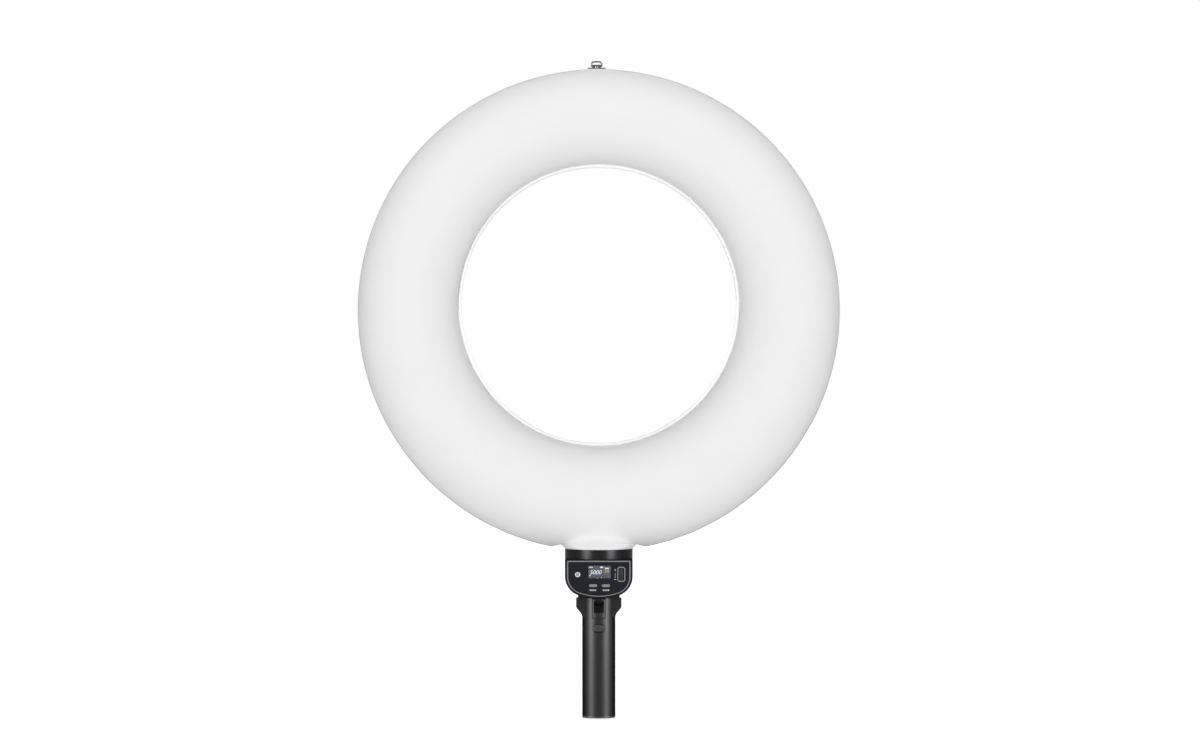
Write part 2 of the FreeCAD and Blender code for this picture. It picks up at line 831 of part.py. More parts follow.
def make_saddle():
    shrink = S.soft_gap
    top = COLLAR_TOP + S.saddle_height
    foot = oval("saddle_foot", S.collar_half_width - shrink, S.collar_half_depth - shrink, COLLAR_TOP)
    flare = oval("saddle_flare", S.saddle_half_width, S.saddle_half_depth, top)
    cup = doc.addObject("Part::Loft", "saddle_cup")
    cup.Sections = [foot, flare]
    cup.Solid = True
    cup.Ruled = True
    skirt_x = S.collar_half_width - S.collar_wall - S.fit_gap
    skirt_y = S.collar_half_depth - S.collar_wall - S.fit_gap
    skirt_z = (COLLAR_TOP - S.skirt_height, COLLAR_TOP)
    skirt = oval_block("saddle_skirt", skirt_x, skirt_y, skirt_z)
    # The fabric lies on the flare, and its hem is open over the middle.
    inside = slot(0, 0, (S.neck_half_width - shrink) * 2, (S.neck_half_depth - shrink) * 2)
    middle = Body("saddle_middle").pad("XY", [inside], (RING_BOTTOM - 1, top + 5)).body
    fabric = cut("saddle_fabric_room", donut("saddle_room", -shrink), middle)
    reach = S.foot_half_width + S.passage_gap
    passage = slot(0, 0, reach * 2, (S.foot_half_depth + S.passage_gap) * 2)
    hole = Body("saddle_passage").pad("XY", [passage], (skirt_z[0] - 1, top + 5)).body
    whole = join("saddle_whole", cup, skirt)
    subpart("neck_saddle", cut("neck_saddle_shape", whole, fabric, hole, hoop_room("saddle_hoop_room")))


def make_collar():
    height = (HEAD_TOP, COLLAR_TOP)
    past = (HEAD_TOP - 1, COLLAR_TOP + 1)
    wall = S.collar_wall
    outer = oval_block("collar_outside", S.collar_half_width, S.collar_half_depth, height)
    inner = oval_block("collar_inside", S.collar_half_width - wall, S.collar_half_depth - wall, past)
    subpart("head_collar", cut("head_collar_shape", outer, inner))


def foot_screw_spots():
    x = S.foot_half_width - S.foot_screw_side
    y = S.foot_half_depth - S.foot_screw_end
    return [(-x, -y), (x, -y), (-x, y), (x, y)]


def make_neck_bracket():
    floor = HEAD_TOP
    foot_top = floor + S.foot_height
    post_top = COLLAR_TOP + S.post_rise
    arm_top = RING_CENTRE - CARRIER_RADIUS + S.arm_rise
    foot = box("neck_foot", both(S.foot_half_width), both(S.foot_half_depth), (floor, foot_top))
    post = box("neck_post", both(S.post_half_width), both(S.post_half_depth), (floor, post_top))
    arm_depth = (CHANNEL_BACK, CHANNEL_BACK + S.arm_depth)
    arm = box("neck_arm", both(S.post_half_width), arm_depth, (floor, arm_top))
    blank = join("neck_blank", foot, post, arm)
    holes = [
        rod("neck_wire_hole", S.cable_hole, "Z", (0, S.cable_y), (floor - 1, post_top + 1)),
        hoop_room("neck_hoop_room"),
    ]
    screws = []
    for number, spot in enumerate(foot_screw_spots()):
        radius = S.screw_radius + S.fit_gap
        holes.append(rod(f"foot_hole_{number}", radius, "Z", spot, (floor - 1, foot_top + 1)))
        head = (S.screw_head, (foot_top, foot_top + S.screw_head_height))
        shank = (S.screw_radius, (floor - S.head_wall - S.boss_height, foot_top))
        screws.append(screw(f"foot_screw_{number}", "Z", spot, head, shank))
    subpart("neck_bracket", cut("neck_bracket_shape", blank, *holes))
    return screws


def make_cable():
    """The lead runs up through the neck from the driver board to the lowest lamp board."""
    edge = RING_CENTRE - CARRIER_RADIUS - S.board_half_width
    wide = both(S.cable_plug_half_width)
    height = (edge + 1, edge + 1 + S.cable_plug_height)
    upper = box("upper_plug", wide, (BOARD_FRONT - S.plug_reach, BOARD_FRONT), height)
    reach = (S.cable_y - S.plug_reach / 2, S.cable_y + S.plug_reach / 2)
    foot = DRIVER_BOARD_TOP + S.cable_plug_height
    lower = box("lower_plug", wide, reach, (DRIVER_BOARD_TOP, foot))
    y = S.cable_y.value
    front = LEAD_Y.value
    bend = S.lead_bend.value
    step = height[0].value - 1 - bend
    points = [V(0, y, foot.value), V(0, y, step - S.lead_rise.value)]
    points += [V(0, front, step), V(0, front, height[0].value)]
    lead = pipe(points, [bend, bend], S.cable_radius.value)
    subpart("lamp_cable", ready("lamp_cable_shape", lead))
    subpart("cable_plugs", group("cable_plugs_shape", [upper, lower]))


# Hanger on top of the ring


def make_hanger():
    x = S.hanger_x
    plate_z = RING_TOP + S.soft_gap
    plate_top = plate_z + S.hanger_plate_height
    width = (x - S.hanger_plate_width / 2, x + S.hanger_plate_width / 2)
    plate = box("hanger_strap", width, both(S.hanger_plate_depth / 2), (plate_z, plate_top))
    hinge_z = plate_top + S.knuckle_radius - S.fit_gap
    knuckle_x = (x - S.knuckle_width / 2, x + S.knuckle_width / 2)
    knuckle = rod("hanger_knuckle", S.knuckle_radius, "X", (0, hinge_z), knuckle_x)
    past = (knuckle_x[0] - 1, knuckle_x[1] + 1)
    holes = [rod("knuckle_bore", S.bail_wire + S.running_gap, "X", (0, hinge_z), past)]
    block_top = RING_TOP - S.cover_wall - S.soft_gap * 4
    block_z = (block_top - S.hoop_wire * 2 - S.hanger_block_depth, block_top)
    block_x = (x - S.hanger_block_half_width, x + S.hanger_block_half_width)
    block_y = both(S.hanger_rivet_y + S.hanger_block_edge)
    block = box("hanger_block_blank", block_x, block_y, block_z)
    head_radius = S.hanger_rivet + S.rivet_head
    foot_z = (block_z[0] - S.rivet_head, block_z[0])
    block_holes = [hoop_room("hanger_hoop_room")]
    rivets = []
    for number, y in enumerate(both(S.hanger_rivet_y)):
        radius = S.hanger_rivet + S.running_gap
        holes.append(rod(f"plate_hole_{number}", radius, "Z", (x, y), (plate_z - 1, plate_top + 1)))
        block_holes.append(rod(f"block_hole_{number}", radius, "Z", (x, y), (block_z[0] - 1, block_top + 1)))
        top = rod(f"rivet_top_{number}", head_radius, "Z", (x, y), (plate_top, plate_top + S.rivet_head))
        stem = rod(f"rivet_stem_{number}", S.hanger_rivet, "Z", (x, y), (foot_z[0], plate_top))
        foot = rod(f"rivet_foot_{number}", head_radius, "Z", (x, y), foot_z)
        rivets.append(join(f"rivet_{number}", top, stem, foot))
    subpart("hanger_plate", cut("hanger_plate_shape", join("hanger_plate_blank", plate, knuckle), *holes))
    subpart("hanger_block", cut("hanger_block_shape", block, *block_holes))
    subpart("hanger_rivets", group("hanger_rivets_shape", rivets))
    subpart("hang_ring", ready("hang_ring_shape", bail(x.value, hinge_z.value)))


def bail(x, z):
    """A closed wire loop with round shoulders, its foot in the knuckle."""
    wire = S.bail_wire.value
    half = S.bail_width.value / 2 - wire
    top = z + S.bail_height.value - wire
    foot_bend = wire * 1.2
    bend = (top - z) * 0.62
    dip = math.sqrt(0.5)

    def corner(across, up, radius, side_x, side_z):
        centre = V(across - side_x * radius, 0, up - side_z * radius)
        start = centre + V(side_x * radius, 0, 0)
        middle = centre + V(side_x * radius * dip, 0, side_z * radius * dip)
        end = centre + V(0, 0, side_z * radius)
        return start, middle, end

    right = corner(x + half, top, bend, 1, 1)
    left = corner(x - half, top, bend, -1, 1)
    right_foot = corner(x + half, z, foot_bend, 1, -1)
    left_foot = corner(x - half, z, foot_bend, -1, -1)
    middle = V(x, 0, z)
    edges = [
        Part.LineSegment(middle, right_foot[2]).toShape(),
        Part.Arc(right_foot[2], right_foot[1], right_foot[0]).toShape(),
        Part.LineSegment(right_foot[0], right[0]).toShape(),
        Part.Arc(right[0], right[1], right[2]).toShape(),
        Part.LineSegment(right[2], left[2]).toShape(),
        Part.Arc(left[2], left[1], left[0]).toShape(),
        Part.LineSegment(left[0], left_foot[0]).toShape(),
        Part.Arc(left_foot[0], left_foot[1], left_foot[2]).toShape(),
        Part.LineSegment(left_foot[2], middle).toShape(),
    ]
    section = Part.Wire(Part.makeCircle(wire, middle, V(1, 0, 0)))
    return Part.Wire(edges).makePipeShell([section], True, False)


# Control head

FACE = -S.head_front
WALL_BACK = FACE + S.head_front_wall
RECESS_FLOOR = FACE + S.recess_depth
PANEL_FRONT = RECESS_FLOOR - S.panel_thickness
FLANGE_FRONT = WALL_BACK + S.fit_gap
FLANGE_BACK = FLANGE_FRONT + S.button_flange
WINDOW_BACK = PANEL_FRONT + S.window_thickness
DIAL_Y = PANEL_FRONT - S.dial_proud + S.dial_radius


def head_outline(inset, top_inset, lower=0):
    """The housing's outline from the front, drawn in by the given amounts and lowered underneath."""
    across = S.head_half_width - S.head_corner
    between = S.head_sweep - S.head_corner
    drop = root(between * between - across * across)
    ratio = (S.head_sweep - inset) / between
    x = across * ratio
    corner_z = HEAD_CORNER_Z - lower
    z = corner_z + drop - drop * ratio
    half = S.head_half_width - inset
    top = HEAD_TOP - top_inset
    corner = S.head_corner - inset
    return [
        (-half, top),
        (-half, corner_z, corner),
        (-x, z, S.head_sweep - inset),
        (x, z, corner),
        (half, corner_z),
        (half, top),
    ]


def shell_screw_spots():
    upper_x = S.head_half_width - S.upper_post_side
    upper_z = HEAD_TOP - S.upper_post_drop
    lower_x = S.head_half_width - S.lower_post_side
    lower_z = HEAD_CORNER_Z - S.lower_post_drop
    return [(-upper_x, upper_z), (upper_x, upper_z), (-lower_x, lower_z), (lower_x, lower_z)]


def board_screw_spots():
    left = S.power_x + 4.6
    return [
        (left, HEAD_TOP - 7.2),
        (left, KEY_Z - 2.0),
        (S.key_right_x + S.key_width, KEY_Z - 1.6),
    ]


def driver_screw_spots():
    x = S.driver_board_half_width - S.driver_screw_side
    front = S.driver_screw_front
    back = S.driver_screw_back
    return [(-x, front), (x, front), (-x, back), (x, back)]


def dock_screw_spots():
    x = S.plug_half_width - S.dock_screw_side
    y = S.plug_half_depth - S.dock_screw_end
    return [(-x, -y), (x, -y), (-x, y), (x, y)]


def screen_outline(grow):
    half = S.screen_width / 2 + grow
    tall = S.screen_height / 2 + grow
    return rectangle((S.screen_x - half, S.screen_x + half), (SCREEN_Z - tall, SCREEN_Z + tall))


def key_outline(x, grow):
    return slot(x, KEY_Z, S.key_width + grow * 2, S.key_height + grow * 2)


def bezel_outline(inset):
    """A tall frame with cut corners."""
    half = S.bezel_width / 2 - inset
    tall = S.bezel_height / 2 - inset
    cut_corner = S.bezel_corner - inset / 2
    x = S.dial_x
    z = DIAL_Z
    return [
        (x - half + cut_corner, z - tall),
        (x + half - cut_corner, z - tall),
        (x + half, z - tall + cut_corner),
        (x + half, z + tall - cut_corner),
        (x + half - cut_corner, z + tall),
        (x - half + cut_corner, z + tall),
        (x - half, z + tall - cut_corner),
        (x - half, z - tall + cut_corner),
    ]


def control_outlines():
    """The holes that the front wall and the panel both have."""
    gap = S.fit_gap
    return [
        ("circle", S.power_x, POWER_Z, S.power_radius + gap),
        key_outline(S.key_left_x, gap),
        key_outline(S.key_right_x, gap),
        screen_outline(gap),
    ]


def top_holes(name):
    """Holes in the housing's top for the lead and the neck's screws."""
    span = (HEAD_TOP - S.head_wall - S.boss_height - 1, HEAD_TOP + 1)
    holes = [rod(f"{name}_wire", S.cable_hole, "Z", (0, S.cable_y), span)]
    for number, spot in enumerate(foot_screw_spots()):
        holes.append(rod(f"{name}_foot_{number}", S.screw_radius + S.running_gap, "Z", spot, span))
    return holes


def top_bosses(name, side):
    """Bosses under the housing's top, on one side of the split."""
    span = (HEAD_TOP - S.head_wall - S.boss_height, HEAD_TOP - S.head_wall / 2)
    spots = [spot for spot in foot_screw_spots() if spot[1].value * side > 0]
    return [rod(f"{name}_{n}", S.small_boss + 0.9, "Z", spot, span) for n, spot in enumerate(spots)]


def dock_bosses(name, side):
    """Flat seats for the dock's screws, with their holes."""
    low = sweep_bottom(S.head_wall)
    spots = [spot for spot in dock_screw_spots() if spot[1].value * side > 0]
    seats = [rod(f"{name}_{n}", S.screw_head, "Z", spot, (low, dock_seat())) for n, spot in enumerate(spots)]
    past = (low - 5, dock_seat() + 1)
    radius = S.screw_radius + S.running_gap
    holes = [rod(f"{name}_hole_{n}", radius, "Z", spot, past) for n, spot in enumerate(spots)]
    return seats, holes


def sweep_bottom(inset):
    """The lowest height of the housing's outline."""
    across = S.head_half_width - S.head_corner
    between = S.head_sweep - S.head_corner
    return HEAD_CORNER_Z + root(between * between - across * across) - S.head_sweep + inset


def dock_seat():
    return sweep_bottom(0) + S.head_wall + S.dock_seat_height


def screw_posts(name, span):
    """Posts for the housing's long screws, trimmed to stay inside its wall."""
    circles = [("circle", x, z, S.shell_boss) for x, z in shell_screw_spots()]
    half = S.head_wall / 4
    posts = Body(f"{name}_body").pad("XZ", circles, span).body
    room = Body(f"{name}_room").pad("XZ", [head_outline(half, half)], span).body
    return common(name, posts, room)


def make_front_shell():
    shell = Body("front_shell_body")
    shell.pad("XZ", [head_outline(0, 0)], (FACE, 0))
    shell.soften("Fillet", S.shell_edge, lambda edge: lies_at(edge, FACE))
    shell.pocket("XZ", [head_outline(S.head_wall, S.head_wall)], (WALL_BACK, 1))
    recess = head_outline(S.recess_inset - S.fit_gap, S.recess_top_inset - S.fit_gap)
    shell.pocket("XZ", [recess], (FACE - 1, RECESS_FLOOR))
    half = S.bezel_width / 2 - S.bezel_line
    tall = S.bezel_height / 2 + 1.5
    well = rectangle((S.dial_x - half, S.dial_x + half), (DIAL_Z - tall, DIAL_Z + tall))
    shell.pocket("XZ", control_outlines() + [well], (RECESS_FLOOR - 1, WALL_BACK + 1))
    bosses = [("circle", x, z, S.small_boss) for x, z in board_screw_spots()]
    shell.pad("XZ", bosses, (WALL_BACK - 0.5, S.control_board_y))
    pilots = [("circle", x, z, S.small_screw + S.running_gap) for x, z in board_screw_spots()]
    shell.pocket("XZ", pilots, (WALL_BACK, S.control_board_y + 1))
    inner = screw_posts("front_posts", (-S.shell_boss_front, 0))
    seats, holes = dock_bosses("front_dock_seat", -1)
    whole = join("front_shell_whole", shell.body, inner, *top_bosses("front_top_boss", -1), *seats)
    for number, (x, z) in enumerate(shell_screw_spots()):
        span = (-S.shell_boss_front - 1, 1)
        holes.append(rod(f"front_post_hole_{number}", S.screw_radius + S.running_gap, "Y", (x, z), span))
    shape = cut("head_front_shell_shape", whole, *holes, *top_holes("front_top_hole"))
    subpart("head_front_shell", shape)


def make_rear_shell():
    back = S.head_back
    inside = back - S.head_wall
    shell = Body("rear_shell_body")
    shell.pad("XZ", [head_outline(0, 0)], (0, back))
    shell.soften("Fillet", S.shell_edge, lambda edge: lies_at(edge, back))
    shell.pocket("XZ", [head_outline(S.head_wall, S.head_wall)], (-1, inside))
    vents = []
    for step in range(VENTS):
        x = S.vent_pitch * (step - (VENTS - 1) / 2)
        half = S.vent_width / 2
        top = HEAD_TOP - S.vent_drop
        vents.append(rectangle((x - half, x + half), (top - S.vent_height, top)))
    shell.pocket("XZ", vents, (inside - 1, back + 1))
    floor = DRIVER_BOARD_TOP
    port = rectangle(
        both(S.usb_half_width + S.fit_gap),
        (floor - S.fit_gap, floor + S.usb_height + S.fit_gap),
    )
    shell.pocket("XZ", [port], (inside - 1, back + 1))
    inner = screw_posts("rear_posts", (0, back - S.head_wall / 2))
    seats, holes = dock_bosses("rear_dock_seat", 1)
    stands = []
    for number, spot in enumerate(driver_screw_spots()):
        foot = sweep_bottom(S.head_wall) + S.driver_stand_foot
        stands.append(rod(f"driver_stand_{number}", S.small_boss + 0.4, "Z", spot, (foot, DRIVER_BOARD_Z)))
        pilot = (DRIVER_BOARD_Z - S.driver_pilot_depth, DRIVER_BOARD_Z + 1)
        holes.append(rod(f"driver_pilot_{number}", S.small_screw + S.running_gap, "Z", spot, pilot))
    bosses = top_bosses("rear_top_boss", 1)
    whole = join("rear_shell_whole", shell.body, inner, *bosses, *seats, *stands)
    for number, (x, z) in enumerate(shell_screw_spots()):
        radius = S.screw_radius + S.running_gap
        holes.append(rod(f"rear_post_hole_{number}", radius, "Y", (x, z), (-1, back + 1)))
        sink = (back - S.shell_screw_sink, back + 1)
        holes.append(rod(f"rear_post_sink_{number}", S.screw_head + S.fit_gap, "Y", (x, z), sink))
    shape = cut("head_rear_shell_shape", whole, *holes, *top_holes("rear_top_hole"))
    subpart("head_rear_shell", shape)
    screws = []
    head = (S.screw_head, (back - S.shell_screw_sink, back - S.shell_screw_sink + S.screw_head_height))
    shank = (S.screw_radius, (-S.shell_boss_front + 2, back - S.shell_screw_sink))
    for number, (x, z) in enumerate(shell_screw_spots()):
        screws.append(screw(f"shell_screw_{number}", "Y", (x, z), head, shank))
    subpart("shell_screws", group("shell_screws_shape", screws))


# Face panel and its controls


def make_panel():
    trim = S.trim_width
    outer = head_outline(S.recess_inset, S.recess_top_inset)
    inner = head_outline(S.recess_inset + trim, S.recess_top_inset + trim, S.trim_taper)
    frame = Body("face_trim_body").pad("XZ", [outer, inner], (FACE - S.trim_proud, RECESS_FLOOR))
    subpart("face_trim", frame.body)
    gap = trim + S.running_gap
    edge = head_outline(S.recess_inset + gap, S.recess_top_inset + gap, S.trim_taper)
    loops = [edge] + control_outlines() + [bezel_outline(-S.running_gap)]
    subpart("face_panel", Body("face_panel_body").pad("XZ", loops, (PANEL_FRONT, RECESS_FLOOR)).body)
    window = Body("display_window_body").pad("XZ", [screen_outline(0)], (PANEL_FRONT, WINDOW_BACK))
    subpart("display_window", window.body)
    module = Body("display_module_body")
    module.pad("XZ", [screen_outline(0)], (WINDOW_BACK, WALL_BACK + 0.5))
    module.pad("XZ", [screen_outline(S.module_margin)], (WALL_BACK, WALL_BACK + S.module_depth))
    subpart("display_module", module.body)
    bezel = Body("dial_bezel_body")
    bezel.pad("XZ", [bezel_outline(0), bezel_outline(S.bezel_line)], (FACE - S.trim_proud, RECESS_FLOOR))
    subpart("dial_bezel", bezel.body)


def make_buttons():
    front = PANEL_FRONT - S.button_proud
    flange = S.button_flange
    power = Body("power_button_body")
    power.pad("XZ", [("circle", S.power_x, POWER_Z, S.power_radius)], (front, FLANGE_FRONT + 0.5))
    power.soften("Fillet", S.button_edge, lambda edge: lies_at(edge, front))
    power.pad("XZ", [("circle", S.power_x, POWER_Z, S.power_radius + flange)], (FLANGE_FRONT, FLANGE_BACK))
    subpart("power_button", power.body)
    for name, x in (("key_left", S.key_left_x), ("key_right", S.key_right_x)):
        key = Body(f"{name}_body")
        key.pad("XZ", [key_outline(x, 0)], (front, FLANGE_FRONT + 0.5))
        key.soften("Fillet", S.button_edge, lambda edge: lies_at(edge, front))
        key.pad("XZ", [key_outline(x, flange)], (FLANGE_FRONT, FLANGE_BACK))
        subpart(name, key.body)


def make_dial():
    radius = S.dial_radius.value
    groove = radius - S.dial_groove.value
    spots = []
    for step in range(DIAL_RIBS):
        for shift, reach in ((0, radius), (0.42, radius), (0.58, groove), (0.92, groove)):
            angle = 2 * math.pi * (step + shift) / DIAL_RIBS
            spots.append(V(0, reach * math.cos(angle), reach * math.sin(angle)))
    wheel = Part.Face(Part.makePolygon(spots + spots[:1])).extrude(V(S.dial_width.value, 0, 0))
    bore_radius = (S.dial_axle + S.running_gap).value
    bore = Part.makeCylinder(bore_radius, S.dial_width.value + 2, V(-1, 0, 0), V(1, 0, 0))
    spot = V((S.dial_x - S.dial_width / 2).value, DIAL_Y.value, DIAL_Z.value)
    subpart("dial_wheel", ready("dial_wheel_shape", wheel.cut(bore), spot))
    left_side = S.dial_x - S.dial_width / 2 - S.dial_side_gap
    right_side = S.dial_x + S.dial_width / 2 + S.dial_side_gap
    wide = (left_side - S.bracket_wall, right_side + S.bracket_seat)
    centre = (DIAL_Y, DIAL_Z)
    height = (DIAL_Z - S.bracket_half_height, DIAL_Z + S.bracket_half_height)
    rear = DIAL_Y + S.dial_radius + S.bracket_room
    left = box("dial_left_cheek", (wide[0], left_side), (WALL_BACK, rear), height)
    right = box("dial_right_cheek", (right_side, wide[1]), (WALL_BACK, rear), height)
    bridge = box("dial_bridge", wide, (rear, rear + S.bracket_wall), height)
    span = (wide[0], wide[1] - 1)
    bore = rod("dial_bracket_bore", S.dial_axle + S.running_gap, "X", centre, span)
    frame = join("dial_bracket_blank", left, right, bridge)
    subpart("dial_bracket", cut("dial_bracket_shape", frame, bore))
    subpart("dial_axle", rod("dial_axle_shape", S.dial_axle, "X", centre, span))


# Circuit boards


def make_boards():
    front = S.control_board_y
    back = front + S.control_board_thickness
    margin = S.switch_half_width + 0.3
    right = S.dial_x - S.dial_width / 2 - S.dial_side_gap - S.bracket_wall - 0.9
    board = box(
        "control_board_blank",
        (S.power_x - margin, right),
        (front, back),
        (KEY_Z - 5.0, HEAD_TOP - S.head_wall - 1.6),
    )
    holes = []
    screws = []
    for number, spot in enumerate(board_screw_spots()):
        radius = S.small_screw + S.running_gap
        holes.append(rod(f"control_hole_{number}", radius, "Y", spot, (front - 1, back + 1)))
        head = (S.small_screw_head, (back, back + S.small_screw_head_height))
        shank = (S.small_screw, (back - S.small_screw_length, back))
        screws.append(screw(f"control_screw_{number}", "Y", spot, head, shank))
    subpart("control_board", cut("control_board_shape", board, *holes))
    switches = []
    tip = FLANGE_BACK + S.button_travel + S.running_gap
    half = S.switch_half_width
    spots = [(S.power_x, POWER_Z), (S.key_left_x, KEY_Z), (S.key_right_x, KEY_Z)]
    for number, (x, z) in enumerate(spots):
        face = front - S.switch_height
        case = box(f"switch_case_{number}", (x - half, x + half), (face, front), (z - half, z + half))
        plunger = rod(f"switch_plunger_{number}", S.switch_plunger, "Y", (x, z), (tip, face))
        switches.append(join(f"switch_{number}", case, plunger))
    subpart("tact_switches", group("tact_switches_shape", switches))
    low = DRIVER_BOARD_Z
    top = low + S.board_thickness
    wide = both(S.driver_board_half_width)
    deep = (S.driver_board_front, S.driver_board_back)
    board = box("driver_board_blank", wide, deep, (low, top))
    holes = []
    for number, spot in enumerate(driver_screw_spots()):
        radius = S.small_screw + S.running_gap
        holes.append(rod(f"driver_hole_{number}", radius, "Z", spot, (low - 1, top + 1)))
        head = (S.small_screw_head, (top, top + S.small_screw_head_height))
        shank = (S.small_screw, (top - S.small_screw_length, top))
        screws.append(screw(f"driver_screw_{number}", "Z", spot, head, shank))
    subpart("driver_board", cut("driver_board_shape", board, *holes))
    subpart("board_screws", group("board_screws_shape", screws))
    deep = (S.sink_front, S.sink_back)
    base = box("sink_base", both(S.sink_half_width), deep, (top, top + S.sink_base))
    fin_top = top + S.sink_height
    fins = [base]
    for step in range(SINK_FINS):
        start = -S.sink_half_width + (2 * S.sink_half_width - S.sink_fin) * (step / (SINK_FINS - 1))
        fins.append(box(f"sink_fin_{step}", (start, start + S.sink_fin), deep, (top, fin_top)))
    subpart("heat_sink", join("heat_sink_shape", *fins))
    height = (top, top + S.inductor_height)
    coils = []
    for number, x in enumerate(both(S.inductor_x)):
        coils.append(rod(f"inductor_{number}", S.inductor_radius, "Z", (x, S.inductor_y), height))
    subpart("inductors", group("inductors_shape", coils))
    height = (top, top + S.capacitor_height)
    cans = []
    for number, x in enumerate(both(S.capacitor_x)):
        cans.append(rod(f"capacitor_{number}", S.capacitor_radius, "Z", (x, S.capacitor_y), height))
    subpart("capacitors", group("capacitors_shape", cans))
    mouth = S.head_back - S.usb_recess
    inside = mouth - S.usb_depth
    wall = S.usb_wall
    outer = box("usb_case", both(S.usb_half_width), (inside, mouth), (top, top + S.usb_height))
    mouth_height = (top + wall, top + S.usb_height - wall)
    inner = box("usb_mouth", both(S.usb_half_width - wall), (inside + wall * 4, mouth + 1), mouth_height)
    middle = top + S.usb_height / 2
    tongue_height = (middle - S.usb_tongue / 2, middle + S.usb_tongue / 2)
    tongue_wide = both(S.usb_half_width - wall * 4)
    tongue = box("usb_tongue", tongue_wide, (inside + wall, mouth - 1), tongue_height)
    subpart("usb_socket", join("usb_socket_shape", cut("usb_shell", outer, inner), tongue))


# Dock between the head and the grip


def make_dock():
    gap = S.fit_gap * 2
    low = GRIP_TOP + gap
    flange = box(
        "dock_flange_blank",
        both(S.dock_flange_half_width),
        both(S.wing_half_depth),
        (low, low + S.dock_flange_height),
    )
    head = Body("dock_head_room").pad("XZ", [head_outline(0, 0)], both(S.wing_half_depth + 1)).body
    collar = cut("dock_flange", flange, head)
    plug_height = (PLUG_BOTTOM, low + 0.5)
    plug = box("dock_plug_block", both(S.plug_half_width), both(S.plug_half_depth), plug_height)
    tooth_root = -S.plug_half_depth + 0.5
    tooth_top = LATCH_WINDOW_TOP - S.tooth_drop
    tooth_outline = [
        (-S.tooth_reach, tooth_top - S.tooth_tip),
        (-S.tooth_reach, tooth_top),
        (tooth_root, tooth_top),
        (tooth_root, tooth_top - S.tooth_height),
    ]
    tooth_wide = both(S.latch_window_half_width - S.tooth_side)
    tooth = Body("dock_tooth_body").pad("YZ", [tooth_outline], tooth_wide)
    blank = join("dock_plug_blank", collar, plug, tooth.body)
    holes = []
    screws = []
    seat = dock_seat()
    for number, spot in enumerate(dock_screw_spots()):
        radius = S.screw_radius + S.running_gap
        tip = seat - S.dock_screw_length
        holes.append(rod(f"dock_hole_{number}", radius, "Z", spot, (tip - 1, seat + 1)))
        head = (S.screw_head - S.running_gap, (seat, seat + S.screw_head_height))
        screws.append(screw(f"dock_screw_{number}", "Z", spot, head, (S.screw_radius, (tip, seat))))
    subpart("dock_plug", cut("dock_plug_shape", blank, *holes))
    contacts = []
    pins = []
    floor = CAVITY_TOP + S.dock_floor
    for number in range(DOCK_CONTACTS):
        x = S.contact_pitch * (number - (DOCK_CONTACTS - 1) / 2)
        strip = PLUG_BOTTOM - S.contact_thickness
        wide = (x - S.contact_half_width, x + S.contact_half_width)
        contacts.append(box(f"contact_{number}", wide, both(S.contact_half_length), (strip, PLUG_BOTTOM)))
        pins.append(rod(f"contact_pin_{number}", S.contact_pin, "Z", (x, 0), (floor, strip)))
    subpart("dock_contacts", group("dock_contacts_shape", contacts + pins))
    return screws


def make_receptacle():
    wide = both(S.plug_half_width + S.dock_wall)
    deep = both(S.plug_half_depth + S.dock_wall)
    block = box("receptacle_block", wide, deep, (CAVITY_TOP, GRIP_TOP - 0.3))
    skirt_deep = (S.receptacle_skirt_front, -S.receptacle_skirt_front + 2)
    skirt_z = (BATTERY_BOARD_TOP + S.fit_gap, CAVITY_TOP + 0.5)
    skirt = box("receptacle_skirt", both(S.skirt_half_width), skirt_deep, skirt_z)
    gap = S.fit_gap * 2
    floor = CAVITY_TOP + S.dock_floor
    mouth_deep = both(S.plug_half_depth + gap)
    mouth = box("receptacle_mouth", both(S.plug_half_width + gap), mouth_deep, (floor, GRIP_TOP + 1))
    notch = box(
        "receptacle_notch",
        both(S.latch_window_half_width),
        (-S.plug_half_depth - S.dock_wall - 1, 0),
        (LATCH_WINDOW_TOP - 6.5, GRIP_TOP + 1),
    )
    blank = join("receptacle_blank", block, skirt)
    subpart("dock_receptacle", cut("dock_receptacle_shape", blank, mouth, notch))


# Grip


